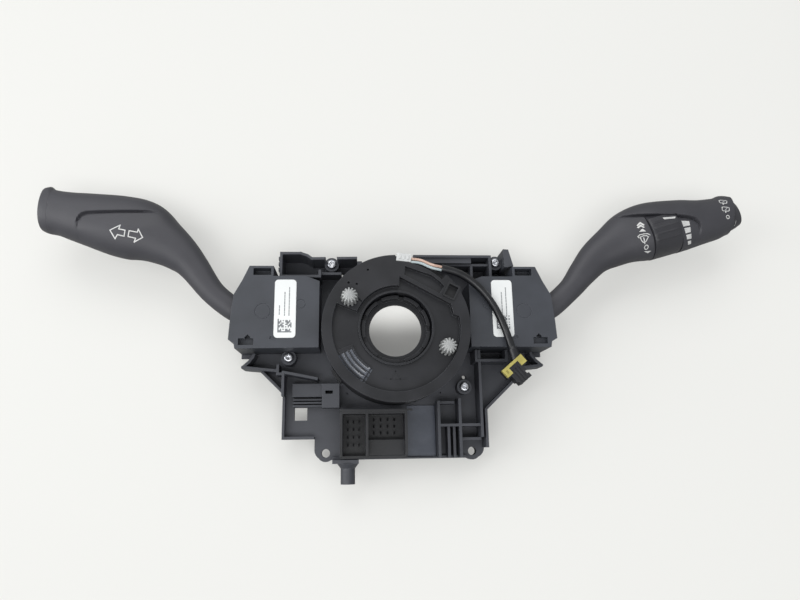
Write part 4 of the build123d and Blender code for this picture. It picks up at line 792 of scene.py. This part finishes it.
@dataclass
class Stalk:
    """A stalk as a smooth body through oval sections, drawn on the right-hand side.

    Each section is distance from the column axis, height, half width and half thickness. The swell
    of the upper edge near the end is where it starts, is full, starts to fall and ends, and its height.
    The section squares up to the end face over the last square_up. The swell comes in over swell_side
    of the cosine of the angle round the section, and the recess over recess_side of its sine.
    """

    side: int
    body: str
    sections: tuple[tuple[float, float, float, float], ...]
    recess: Recess
    swell: tuple[float, float, float, float, float]
    axis_height: float = 23.3
    pivot_x: float = 80.0
    rise: float = 2.5
    fullness: float = 2.15
    steps: int = 24
    around: int = 132
    rounded_end: float = 0.0
    end_turn: float = 0.0
    square_up: float = 14.0
    swell_side: Point2 = (0.2, 0.9)
    recess_side: Point2 = (0.10, 0.45)
    parting: tuple[float, ...] = (-0.5, 0.0, 0.5)

    def place(self, x: float, y: float, z: float) -> Point3:
        """Lift a point with the stalk's rise, mirror it if needed and turn it to metres."""
        turn = math.radians(self.rise)
        dx, dz = x - self.pivot_x, z - self.axis_height
        lifted_x = self.pivot_x + dx * math.cos(turn) - dz * math.sin(turn)
        lifted_z = self.axis_height + dx * math.sin(turn) + dz * math.cos(turn)
        return self.side * lifted_x * MM, y * MM, lifted_z * MM

    def stations(self, sections: Sequence[Sequence[float]], steps: int) -> list[tuple[float, ...]]:
        """Smooth the sections and add each one's level direction.

        Args:
            sections: rows of x, y, half width and half thickness.
            steps: stations between each two.

        Returns:
            Rows of x, y, half width, half thickness and the direction's two parts.
        """
        rows = smooth_rows(sections, steps)
        made = []
        for index, row in enumerate(rows):
            before, after = rows[max(index - 1, 0)], rows[min(index + 1, len(rows) - 1)]
            length = math.hypot(after[0] - before[0], after[1] - before[1])
            made.append((*row, (after[0] - before[0]) / length, (after[1] - before[1]) / length))
        return made

    def near_end(self, station: Sequence[float]) -> tuple[float, ...]:
        """Square a station up to the end face and round the shell's last edge.

        Args:
            station: one row of stations().

        Returns:
            The row as it is modelled.
        """
        x, y, wide, thick, ux, uy = station
        left = math.hypot(self.sections[-1][0] - x, self.sections[-1][1] - y)
        share = 1.0 - ease(left, 0.0, self.square_up)
        turn = math.atan2(uy, ux) * (1 - share) + math.radians(self.end_turn) * share
        radius = self.rounded_end
        drop = radius - math.sqrt(radius ** 2 - (radius - left) ** 2) if left < radius else 0.0
        return x, y, wide - drop, thick - drop, math.cos(turn), math.sin(turn)

    def oval(self, station: Sequence[float], angle: float, level: float = 1.0) -> Point3:
        """A point of the section's outline, before the recess.

        Args:
            station: one row of stations().
            angle: angle round the section; 0 is the upper side, 90 degrees the front.
            level: +1 for the front half, -1 for the back half.

        Returns:
            x, y and z in millimetres.
        """
        x, y, wide, thick, ux, uy = station
        power = 2 / self.fullness
        start, top, fall, end, height = self.swell
        lip = height * ease(x, start, top) * (1.0 - ease(x, fall, end))
        wide += lip * ease(math.cos(angle), *self.swell_side)
        across = math.copysign(abs(math.cos(angle)) ** power, math.cos(angle)) * wide
        out = abs(math.sin(angle)) ** power * thick * level
        return x - uy * across, y + ux * across, self.axis_height + out

    def half_shell(self, name: str, level: float) -> Piece:
        """Model the front or the back shell as a closed half.

        Args:
            name: the piece's name.
            level: +1 for the front half, -1 for the back half.

        Returns:
            The half shell.
        """
        points = []
        for station in map(self.near_end, self.stations(self.sections, self.steps)):
            for index in range(self.around + 1):
                angle = math.pi * index / self.around
                x, y, z = self.oval(station, angle, level)
                if level > 0:
                    z -= self.recess.sink(x, y) * ease(math.sin(angle), *self.recess_side)
                points.append(self.place(x, y, z))
            x, y, wide, _, ux, uy = station
            points += [self.place(x - uy * wide * share, y + ux * wide * share, self.axis_height)
                       for share in self.parting]
        return solid_of_rings(name, points, self.around + 1 + len(self.parting), STALK_GRAIN)

    def end_piece(self, name: str, length: float, turn: float, tilt: float,
                  rings: Sequence[Point3], gap: float, finish: Finish) -> Piece:
        """Model the cap or knob beyond the last section.

        Args:
            name: the piece's name.
            length: how far it reaches.
            turn: its direction from level outward, in degrees.
            tilt: turn of its end face.
            rings: rows of share of the length, half width and half thickness.
            gap: the joint between it and the shells.
            finish: its material.

        Returns:
            The end piece.
        """
        x0, y0, _, _ = self.sections[-1]
        ux, uy = polar(1.0, turn)
        count = 144
        points = []
        for share, wide, thick in rings:
            reach = gap + share * (length - gap)
            facing = polar(1.0, self.end_turn * (1 - share) + tilt * share)
            station = (x0 + ux * reach, y0 + uy * reach, wide, thick, *facing)
            points += [self.place(*self.oval(station, angle, 1.0 if angle < math.pi else -1.0))
                       for angle in angles(count)]
        return solid_of_rings(name, points, count, finish)


@dataclass
class TurnSignalStalk(Stalk):
    """Left stalk with its closed end cap and the two outline arrows.

    Each row of the cap is a share of its length, half width and half thickness.
    """

    cap_length: float = 6.2
    cap_turn: float = 6.0
    cap_rings: tuple[Point3, ...] = (
        (0.0, 14.2, 10.6), (0.1, 14.2, 10.6), (0.2, 14.1, 10.5), (0.3, 14.0, 10.5), (0.4, 13.9, 10.4),
        (0.5, 13.7, 10.3), (0.65, 13.4, 10.1), (0.78, 13.1, 9.9), (0.87, 12.8, 9.6), (0.93, 12.4, 9.2),
        (0.97, 11.9, 8.8), (0.99, 11.4, 8.3), (1.0, 10.6, 7.6))
    arrow_width: float = 0.62
    arrows: tuple[tuple[Point2, ...], ...] = (
        ((-172.3, 61.4), (-166.5, 64.6), (-167.2, 62.2), (-163.5, 61.5), (-164.0, 57.9), (-167.9, 58.8),
         (-169.4, 56.5)),
        ((-153.3, 57.45), (-155.9, 62.4), (-156.4, 60.5), (-161.1, 61.3), (-161.7, 57.8), (-157.4, 56.9),
         (-158.3, 54.7)))

    def build(self) -> None:
        """Build the shells, the cap and the marks."""
        front = self.half_shell("turn_signal_front_shell", 1.0)
        back = self.half_shell("turn_signal_back_shell", -1.0)
        cap = self.end_piece("turn_signal_cap", self.cap_length, self.cap_turn, 0.0, self.cap_rings, 0.0,
                             STALK_GRAIN)
        arrows = Marks(width=self.arrow_width)
        for outline in self.arrows:
            arrows.line(outline, closed=True)
        marks = arrows.lay("turn_signal_arrows", front, MARK_INK)
        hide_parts("left_stalk_front")
        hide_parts("left_stalk_back")
        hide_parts("left_end_cap")
        for piece in (front, back, cap):
            hand_over(piece, self.body)
        hand_over(marks, self.body)


@dataclass
class WiperStalk(Stalk):
    """Right stalk with the interval ring, the end knob and the wiper marks.

    The ring's ridges have a pitch and a span in degrees about its front, and fade out over ridge_fade
    from its rims. Each row of the knob is a share of its length, half width and half thickness.
    """

    ring_place: Point2 = (175.0, 66.1)
    ring_turn: float = 15.5
    ring_radius: float = 16.0
    ring_length: float = 19.0
    ring_rounding: float = 0.7
    ridge_height: float = 0.42
    ridge_pitch: float = 14.0
    ridge_span: float = 35.0
    ridge_fade: Point2 = (2.6, 1.0)
    seat_play: Point2 = (0.5, 0.7)
    seat_rounding: float = 0.05
    knob_length: float = 5.0
    knob_turn: float = 18.5
    knob_tilt: float = 18.0
    knob_gap: float = 0.3
    knob_rings: tuple[Point3, ...] = (
        (0.0, 10.7, 8.4), (0.05, 11.1, 8.8), (0.12, 11.0, 8.8), (0.35, 10.4, 8.3), (0.60, 9.6, 7.7),
        (0.82, 8.9, 7.2), (0.93, 8.6, 6.9), (0.98, 8.4, 6.6), (1.0, 8.0, 6.1))

    def drum(self, name: str, radius: float, length: float, rounding: float,
             swell: Callable[[float], float] | None = None) -> Piece:
        """A closed drum on the ring's axis.

        Args:
            name: its name.
            radius: its radius.
            length: its length.
            rounding: radius of its rounded rims.
            swell: extra radius at an angle, if there is any.

        Returns:
            The drum.
        """
        ux, uy = polar(1.0, self.ring_turn)
        x0, y0 = self.ring_place
        end, steps, count = -length / 2, 12, 240
        rows = [(end, -rounding), (end + rounding * 0.3, -rounding * 0.3), (end + rounding, 0.0)]
        rows += [(end + rounding + (length - 2 * rounding) * k / steps, 0.0) for k in range(1, steps)]
        rows += [(-reach, shrink) for reach, shrink in reversed(rows[:3])]
        points = []
        for reach, shrink in rows:
            share = 1.0 - ease(abs(reach), *(length / 2 - part for part in self.ridge_fade))
            for angle in angles(count):
                size = radius + shrink + (swell(angle) * share if swell else 0.0)
                across, out = math.cos(angle) * size, math.sin(angle) * size
                points.append(self.place(x0 + ux * reach - uy * across, y0 + uy * reach + ux * across,
                                         self.axis_height + out))
        return solid_of_rings(name, points, count, STALK_SMOOTH)

    def ridge(self, angle: float) -> float:
        """Swell of the ring's soft finger ridges, on its front only."""
        away = math.degrees(angle) - 90.0
        if abs(away) > self.ridge_span:
            return 0.0
        return self.ridge_height * max(math.cos(math.radians(away) * 360.0 / self.ridge_pitch), 0.0) ** 2

    def draw_marks(self) -> tuple[Marks, Marks, Marks]:
        """Draw the marks of the shell, the painted seam highlight of the knob and the mark of the ring.

        Returns:
            The marks of the shell, the painted highlight of the knob's seam edge, and the ring's pointer.
        """
        shell, seam_highlight, pointer = Marks(width=0.5), Marks(), Marks(lift=0.06)
        # two chevrons over a triangle
        for outline in (
                ((158.9, 69.9), (161.3, 67.4), (160.5, 66.9), (158.8, 68.3), (157.0, 66.8), (156.3, 67.5)),
                ((158.8, 67.9), (161.1, 65.8), (160.3, 65.3), (158.8, 66.5), (157.1, 65.3), (156.3, 65.9)),
                ((159.5, 65.0), (161.5, 62.9), (157.3, 62.9))):
            shell.area(outline)
        # an open curve over a closed outline with its stroke, and a ring
        shell.line([(157.0, 58.9), (156.2, 59.7), (157.5, 60.8), (159.9, 61.3), (162.3, 61.3), (163.7, 60.5)])
        shell.line([(157.7, 59.3), (159.5, 60.0), (161.6, 60.1), (162.8, 59.4), (161.4, 56.7), (160.6, 56.0),
                    (159.6, 56.2), (158.4, 57.5)], closed=True)
        shell.line([(160.8, 55.4), (159.9, 58.8)], width=0.6)
        shell.ring(162.1, 53.3, 1.15)
        # a wedge, then four blocks, each smaller than the one before
        for outline in (((161.0, 51.2), (165.9, 51.4), (164.2, 50.2)),
                        ((185.7, 70.2), (190.9, 70.1), (191.2, 67.2), (186.4, 66.1)),
                        ((186.9, 65.1), (191.2, 66.1), (191.4, 62.9), (187.8, 61.8)),
                        ((188.2, 60.9), (191.8, 61.8), (192.5, 59.1), (189.4, 58.4)),
                        ((190.3, 57.5), (192.6, 58.2), (193.6, 56.6), (191.5, 55.9))):
            shell.area(outline)
        # two closed outlines with two strokes each, and a ring
        for outline in (
                ((215.4, 86.1), (216.6, 86.4), (219.7, 85.8), (220.2, 85.3), (219.7, 84.0), (218.9, 83.5),
                 (215.5, 83.9), (215.0, 84.4)),
                ((215.2, 80.3), (216.0, 80.7), (219.7, 80.4), (220.3, 79.9), (219.9, 78.2), (219.1, 77.7),
                 (215.4, 77.8), (214.9, 78.3))):
            shell.line(outline, closed=True)
        for stroke, width in ((((217.0, 83.5), (216.8, 82.8)), 0.8), (((217.2, 77.6), (217.1, 76.9)), 0.8),
                              (((218.3, 85.2), (217.0, 84.5)), 0.35), (((218.5, 79.7), (217.2, 78.6)), 0.35)):
            shell.line(stroke, width=width)
        shell.ring(218.3, 73.7, 1.1)
        # painted highlight: a thin light line in white ink on the knob's lower edge, where its seam catches
        # the light
        seam_highlight.area([(225.5, 72.4), (225.75, 72.4), (225.35, 69.4), (225.1, 69.4)])
        pointer.area([(172.9, 71.9), (180.8, 72.2), (180.4, 71.0), (173.4, 70.3)])
        return shell, seam_highlight, pointer

    def build(self) -> None:
        """Build the shells, the ring, the knob and the marks."""
        front = self.half_shell("wiper_front_shell", 1.0)
        back = self.half_shell("wiper_back_shell", -1.0)
        seat = self.ring_radius + self.seat_play[0], self.ring_length + self.seat_play[1], self.seat_rounding
        front = cut_with(front, self.drum("ring_seat_front", *seat), STALK_GRAIN)
        back = cut_with(back, self.drum("ring_seat_back", *seat), STALK_GRAIN)
        ring = self.drum("interval_ring_ridged", self.ring_radius, self.ring_length, self.ring_rounding,
                         self.ridge)
        knob = self.end_piece("wiper_end_knob", self.knob_length, self.knob_turn, self.knob_tilt,
                              self.knob_rings, self.knob_gap, STALK_SMOOTH)
        shell_marks, seam_highlight_marks, pointer_marks = self.draw_marks()
        marks = shell_marks.lay("wiper_marks", front, MARK_INK)
        # the knob's seam highlight is painted on in white ink
        seam_highlight = seam_highlight_marks.lay("knob_tick", knob, MARK_INK)
        pointer = pointer_marks.lay("ring_pointer", ring, MARK_INK)
        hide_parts("right_stalk_front")
        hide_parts("right_stalk_back")
        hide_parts("interval_ring")
        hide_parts("end_knob")
        for piece, body in ((front, self.body), (back, self.body), (ring, "ring"), (knob, "knob")):
            hand_over(piece, body)
        for piece, body in ((pointer, "ring"), (seam_highlight, "knob"), (marks, self.body)):
            hand_over(piece, body)


# ---------------------------------------------------------------- clock spring
@dataclass
class ClockSpring:
    """What the turning face carries besides its solids: splined pins and moulded marks.

    The pad's arc is in degrees, and each of its strips has an inner and an outer radius.
    """

    pin_circle: float = 32.6
    pin_angles: Point2 = (148.0, -21.2)
    pin_seats: Point2 = (48.0, 43.5)
    pin_radius: float = 5.2
    pin_tip: float = 4.5
    pin_height: float = 8.6
    pin_ribs: int = 13
    pin_groove: float = 1.0
    pin_dome: float = 1.3
    pad_arc: Point2 = (206.0, 240.0)
    pad_steps: int = 12
    pad_strips: tuple[Point2, ...] = ((28.6, 30.8), (31.4, 33.6), (34.2, 36.2), (36.8, 38.6))

    def pins(self, fluted: Fluted, repeat: Repeat) -> Piece:
        """Model both splined pins.

        Args:
            fluted: the tree of a fluted post.
            repeat: the tree that sets copies.

        Returns:
            The pins as one piece.
        """
        post = fluted.make("splined_pin", self.pin_ribs, self.pin_radius, self.pin_tip, self.pin_height,
                           self.pin_groove, self.pin_dome, PIN_ACETAL)
        places = [(*polar(self.pin_circle, angle), seat)
                  for angle, seat in zip(self.pin_angles, self.pin_seats)]
        return repeat.place("splined_drive_pins", post, places, PIN_ACETAL, turn_spread=0.3, seed=4)

    def moulded_marks(self) -> Piece:
        """Raised centre mark in the dish: a plain triangle and two dashes.

        Returns:
            The marks as one piece.
        """
        marks = Marks(width=0.55, lift=0.25)
        marks.line([(-3.6, -30.4), (-0.8, -25.8), (2.0, -30.4)], closed=True)
        marks.line([(-7.6, -29.6), (-5.4, -30.1)])
        marks.line([(3.6, -30.3), (5.8, -29.8)])
        return marks.lay("dish_centre_mark", NODES["rotor_disc"], ROTOR_ACETAL)

    def glossy_pad(self) -> Piece:
        """Glossy pad in the dish, greyer as a painted sheen: curved strips between its ribs.

        Returns:
            The pad as one piece.
        """
        marks = Marks(lift=0.04, step=1.5)
        low, high = self.pad_arc
        for inner, outer in self.pad_strips:
            for index in range(self.pad_steps):
                first, last = (low + (high - low) * (index + k) / self.pad_steps for k in (0, 1))
                marks.area([polar(inner, first), polar(outer, first), polar(outer, last), polar(inner, last)])
        return marks.lay("dish_wear_pad", NODES["rotor_disc"], POLISHED_PAD_PAINTED_SHEEN)

    def build(self, fluted: Fluted, repeat: Repeat) -> None:
        """Build the pieces and let them turn with the rotor."""
        pins = self.pins(fluted, repeat)
        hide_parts("drive_pins")
        for piece, slot in ((pins, "pin_white"), (self.moulded_marks(), "rotor_black"),
                            (self.glossy_pad(), "rotor_black")):
            hand_over(piece, "rotor")


# ---------------------------------------------------------------- screws
@dataclass
class CaseScrews:
    """Four torx screws, lathed with a six-lobed recess."""

    places: tuple[Point3, ...] = (
        (-39.5, 46.0, 20.0), (-65.6, -14.0, 19.0), (66.6, 46.8, 22.0), (43.7, -33.0, 19.0))
    head_radius: float = 3.1
    head_height: float = 2.3
    shank_radius: float = 1.45
    shank_length: float = 8.0
    recess_radius: float = 1.35
    recess_depth: float = 1.5
    lobes: int = 6
    lobe_depth: float = 0.16
    axis_radius: float = 0.05

    def template(self) -> Piece:
        """Lathe one screw whose head sits on the origin.

        Returns:
            The screw.
        """
        top, rim, bore, axis = self.head_height, self.head_radius, self.recess_radius, self.axis_radius
        bottom, tip = top - self.recess_depth, -self.shank_length
        recess = ((axis, bottom), (0.8, bottom), (bore, bottom + 0.2), (bore, top - 0.12), (bore + 0.12, top))
        outside = ((2.0, top - 0.02), (rim - 0.55, top - 0.25), (rim - 0.15, top - 0.75), (rim, top - 1.2),
                   (rim, 0.15), (rim - 0.15, 0.0), (self.shank_radius, 0.0), (self.shank_radius, tip),
                   (axis, tip))
        count = 72
        points = []
        for profile, depth in ((recess, self.lobe_depth), (outside, 0.0)):
            for radius, height in profile:
                for angle in angles(count):
                    size = radius * (1 + depth * math.cos(self.lobes * angle))
                    points.append((size * math.cos(angle) * MM, size * math.sin(angle) * MM, height * MM))
        return solid_of_rings("torx_screw", points, count, ZINC_PLATE, crease=30.0)

    def build(self, repeat: Repeat) -> None:
        """Set the four screws."""
        screws = repeat.place("torx_case_screws", self.template(), self.places, ZINC_PLATE,
                              turn_spread=1.0, seed=7)
        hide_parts("case_screws")
        hand_over(screws, "base")


# ---------------------------------------------------------------- labels
@dataclass
class CaseLabel:
    """Print of one case label: plain bars and a square of scattered dots that say nothing.

    Each line of bars has its place across the label and its two ends along it. The bars' lengths
    wander about bar_length by bar_change.
    """

    side: int
    centre: Point2 = (66.6, 13.6)
    ink: float = 0.02
    bars: tuple[Point3, ...] = ((2.4, -4.3, 13.0), (-0.3, -4.3, 10.6), (-3.4, -3.7, 1.6))
    bar_width: float = 0.55
    bar_length: float = 1.1
    bar_change: float = 0.7
    bar_gap: float = 0.75
    dots: int = 11
    dot: float = 0.76
    dots_left: float = -3.9
    dots_low: float = -14.4

    def has_dot(self, row: int, column: int) -> bool:
        """Whether a place of the square is printed: two edges in full, the rest by a fixed scatter."""
        scatter = (row * 5 + column * 3 + row * column * self.side) % 7
        return row == 0 or column == 0 or scatter in (0, 2, 3, 5)

    def build(self, repeat: Repeat) -> None:
        """Print the bars and the dots onto the paper."""
        name = "left_label" if self.side < 0 else "right_label"
        x0, y0 = self.side * self.centre[0], self.centre[1]
        paper = NODES[name]
        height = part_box(name)[1].z / MM + self.ink
        marks = Marks(width=self.bar_width, lift=self.ink)
        for across, low, high in self.bars:
            step = 0.0
            while low + step < high:
                run = self.bar_length + self.bar_change * math.sin(step * 3.1 + across)
                marks.line([(x0 + across, y0 + low + step), (x0 + across, y0 + min(low + step + run, high))])
                step += run + self.bar_gap
        bars = marks.lay(f"{name}_bars", paper, LABEL_PRINT)
        places = [(x0 + self.dots_left + column * self.dot, y0 + self.dots_low + row * self.dot, height)
                  for row in range(self.dots) for column in range(self.dots) if self.has_dot(row, column)]
        template = new_piece("dot", square(self.dot * 0.5 * MM, 0.0), [(0, 1, 2, 3)], LABEL_PRINT)
        dots = repeat.place(f"{name}_dots", template, places, LABEL_PRINT)
        for piece in (bars, dots):
            hand_over(piece, "base")


# ---------------------------------------------------------------- pigtail
@dataclass
class Pigtail:
    """Sleeve that leaves the turning face towards the plug; the wires stay as imported."""

    sleeve_diameter: float = 4.6
    sleeve_length: float = 69.1
    sleeve_route: tuple[Point3, ...] = (
        (27.8, 35.9, 46.8), (35.6, 34.7, 45.4), (43.6, 31.6, 42.9), (51.2, 26.0, 40.7), (58.2, 18.4, 39.4),
        (63.4, 9.0, 39.0), (66.4, 0.4, 39.8), (68.0, -6.2, 41.1), (69.516, -11.487, 41.1))

    def tube(self, name: str, route: Sequence[Point3], diameter: float, finish: Finish) -> Piece:
        """A round tube along a smooth line.

        Args:
            name: the piece's name.
            route: control points in millimetres.
            diameter: its diameter.
            finish: its material.

        Returns:
            The curve object.
        """
        curve = bpy.data.curves.new(name, "CURVE")
        curve.dimensions = "3D"
        curve.resolution_u = 16
        curve.bevel_depth = diameter / 2 * MM
        curve.bevel_resolution = 8
        curve.use_fill_caps = True
        spline = curve.splines.new("NURBS")
        spline.points.add(len(route) - 1)
        for point, place in zip(spline.points, route):
            point.co = (*(value * MM for value in place), 1.0)
        spline.order_u = 3
        spline.use_endpoint_u = True
        curve.materials.append(finish.material())
        return add_object(name, curve)

    def build(self) -> None:
        sleeve = self.tube("pigtail_sleeve_tube", self.sleeve_route, self.sleeve_diameter, SLEEVE_VINYL)
        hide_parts("pigtail_sleeve")
        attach(sleeve, "rotor")
        LOG.info("%s: %.1f mm", sleeve.name, self.sleeve_length)


# ---------------------------------------------------------------- studio
@dataclass(frozen=True)
class Lamp:
    """A soft box that points at the part."""

    name: str
    place: Point3
    size: Point2
    power: float

    def hang(self) -> None:
        """Create the lamp."""
        data = bpy.data.lights.new(self.name, "AREA")
        data.shape = "RECTANGLE"
        data.size, data.size_y = self.size
        data.energy = self.power
        lamp = add_object(self.name, data)
        lamp.location = self.place
        lamp.rotation_euler = (-Vector(self.place)).to_track_quat("-Z", "Y").to_euler()


@dataclass(frozen=True)
class Studio:
    """Pale floor, soft lamps, world light and the camera. Lengths here are metres.

    The floor glows to the camera only: glow_under_painted_shade inside an oval of glow_radii, a painted
    shade under the part, and glow_around outside it, turning over glow_edges of its radii. evening is
    the share by which the glow rises to the right and falls to the left over evening_span.
    painted_light_through_bore is the glow inside bore_rim, a painted pool of light falling through the
    bore, at the lower and upper ends of bore_fade.
    """

    floor_colour: str = "#f0f0ed"
    floor_matt: str = "#b9b9b6"
    floor_half: float = 3.0
    floor_height: float = -0.0002
    sky: tuple[float, float, float, float] = (0.97, 0.985, 1.0, 1.0)
    world_strength: float = 0.42
    mirrored_strength: float = 0.55
    glow_under_painted_shade: float = 0.31
    glow_around: float = 0.385
    glow_radii: Point2 = (0.10, 0.078)
    glow_edges: Point2 = (0.75, 1.5)
    evening: float = 0.16
    evening_span: Point2 = (-0.3, 0.3)
    painted_light_through_bore: Point2 = (0.19, 0.78)
    bore_fade: Point2 = (0.001, 0.023)
    bore_rim: Point2 = (0.030, 0.034)
    lens: float = 27.72
    camera_place: Point3 = (-0.0233, -0.0691, 0.4029)
    camera_right: Point3 = (0.99757, -0.01623, 0.06772)
    camera_up: Point3 = (0.0, 0.97246, 0.23308)
    lamps: tuple[Lamp, ...] = (
        Lamp("soft_box_above", (-0.18, 0.74, 0.85), (1.1, 0.7), 4.7),
        Lamp("soft_box_left", (-0.85, 0.05, 0.55), (0.5, 0.9), 5.0),
        Lamp("soft_box_front", (-0.06, -0.46, 1.02), (1.0, 0.4), 4.8),
    )

    def glow(self, tree: Tree) -> Socket:
        """Build the strength of the floor's glow.

        Args:
            tree: the floor's tree.

        Returns:
            The socket that carries it.
        """
        place = add_node(tree, "ShaderNodeTexCoord").outputs["Object"]
        apart = add_node(tree, "ShaderNodeSeparateXYZ", {0: place}).outputs
        across, along = self.glow_radii
        oval = add_node(tree, "ShaderNodeVectorMath", {0: place, 1: (1 / across, 1 / along, 0.0)},
                        operation="MULTIPLY").outputs[0]
        reach, away = (
            add_node(tree, "ShaderNodeVectorMath", {0: vector}, operation="LENGTH").outputs["Value"]
            for vector in (oval, place))
        # painted shade: the glow drops inside the oval under the part
        pool = remap(tree, reach, self.glow_edges, (self.glow_under_painted_shade, self.glow_around), smooth=True)
        even = remap(tree, apart["X"], self.evening_span, (1.0 - self.evening, 1.0 + self.evening))
        around = add_math(tree, "MULTIPLY", pool, even)
        # painted light: inside the bore the glow rises towards +Y, as light falling through it
        shaft = remap(tree, apart["Y"], self.bore_fade, self.painted_light_through_bore, smooth=True)
        extra = add_math(tree, "SUBTRACT", shaft, around)
        inside = remap(tree, away, self.bore_rim, (1.0, 0.0))
        return add_math(tree, "MULTIPLY_ADD", extra, inside, around)

    def floor(self) -> None:
        """Lay a wide matt floor under the part."""
        made = bpy.data.materials.new("matt_white_floor")
        tree = empty_tree(made)
        seen = add_node(tree, "ShaderNodeLightPath").outputs["Is Camera Ray"]
        strength = add_math(tree, "MULTIPLY", self.glow(tree), seen)
        light = add_node(tree, "ShaderNodeEmission", {
            "Color": linear(self.floor_colour), "Strength": strength})
        matt = add_node(tree, "ShaderNodeBsdfDiffuse", {"Color": linear(self.floor_matt)})
        both = add_node(tree, "ShaderNodeAddShader", {0: light.outputs[0], 1: matt.outputs[0]})
        add_node(tree, "ShaderNodeOutputMaterial", {"Surface": both.outputs[0]})
        mesh = bpy.data.meshes.new("floor")
        mesh.from_pydata(square(self.floor_half, self.floor_height), [], [(0, 1, 2, 3)])
        mesh.materials.append(made)
        add_object("floor", mesh)

    def world(self) -> None:
        """Light the room evenly, a little brighter where it is seen or mirrored."""
        world = bpy.data.worlds.new("studio")
        bpy.context.scene.world = world
        tree = empty_tree(world)
        path = add_node(tree, "ShaderNodeLightPath").outputs
        seen = add_math(tree, "ADD", path["Is Camera Ray"], path["Is Glossy Ray"])
        seen = add_math(tree, "ADD", seen, path["Is Transmission Ray"], use_clamp=True)
        strength = remap(tree, seen, new=(self.world_strength, self.mirrored_strength))
        sky = add_node(tree, "ShaderNodeBackground", {"Color": self.sky, "Strength": strength})
        add_node(tree, "ShaderNodeOutputWorld", {"Surface": sky.outputs[0]})

    def camera(self) -> None:
        """Set the camera from its place and its two axes."""
        right, up = Vector(self.camera_right), Vector(self.camera_up)
        data = bpy.data.cameras.new("camera")
        data.lens = self.lens
        data.sensor_width = 36.0
        data.sensor_fit = "HORIZONTAL"
        data.clip_start = 0.01
        camera = add_object("camera", data)
        matrix = camera.matrix_world.to_3x3()
        for column, axis in enumerate((right, up, right.cross(up))):
            for row in range(3):
                matrix[row][column] = axis[row]
        camera.matrix_world = matrix.to_4x4()
        camera.location = self.camera_place
        bpy.context.scene.camera = camera

    def build(self) -> None:
        """Build the whole studio."""
        self.camera()
        self.world()
        self.floor()
        for lamp in self.lamps:
            lamp.hang()
        bpy.context.scene.view_settings.view_transform = "Standard"


# ---------------------------------------------------------------- the whole
LEFT_SECTIONS = (
    (94.5, 13.4, 6.2, 5.6), (99.8, 16.0, 7.2, 6.0), (112.7, 26.5, 7.5, 6.6), (125.1, 42.5, 9.3, 7.6),
    (132.5, 50.1, 11.4, 8.8), (142.5, 57.5, 14.5, 10.6), (155.9, 65.0, 19.3, 12.4), (170.7, 68.5, 19.5, 13.0),
    (190.3, 72.6, 16.5, 12.2), (204.0, 75.3, 14.3, 11.2), (211.5, 76.7, 14.2, 10.6))
RIGHT_SECTIONS = (
    (94.5, 13.6, 6.2, 5.6), (101.0, 17.1, 7.2, 6.0), (114.2, 28.7, 7.4, 6.6), (123.7, 39.9, 9.0, 7.4),
    (133.3, 50.1, 11.1, 8.8), (145.0, 57.7, 14.2, 11.0), (156.7, 64.0, 17.6, 13.6), (169.3, 67.7, 19.0, 15.2),
    (188.8, 71.2, 17.4, 14.4), (206.2, 74.3, 14.8, 12.4), (224.8, 78.3, 13.0, 9.7))


def main() -> None:
    """Dress the part, piece by piece, and set the studio."""
    logging.basicConfig(level=logging.INFO, format="%(name)s %(message)s")
    Studio().build()
    Pigtail().build()
    dress_nodes()
    repeat, fluted = Repeat(), Fluted()
    TurnSignalStalk(
        -1, "left_stalk", LEFT_SECTIONS,
        recess=Recess(((148.0, 75.4), (187.6, 73.0), (191.0, 71.4), (192.8, 68.6), (193.4, 60.0))),
        swell=(211.2, 213.6, 300.0, 310.0, 1.9)).build()
    WiperStalk(
        1, "right_stalk", RIGHT_SECTIONS,
        recess=Recess(((148.0, 75.3), (190.0, 73.2), (195.4, 71.9), (198.6, 69.0), (199.4, 60.0)),
                      reach=15.0, proud=0.9),
        swell=(215.6, 219.2, 219.6, 226.4, 1.35), rounded_end=0.4, end_turn=-6.0).build()
    ClockSpring().build(fluted, repeat)
    CaseScrews().build(repeat)
    CaseLabel(-1).build(repeat)
    CaseLabel(1, dots_low=-12.6).build(repeat)


if __name__ == "__main__":
    main()
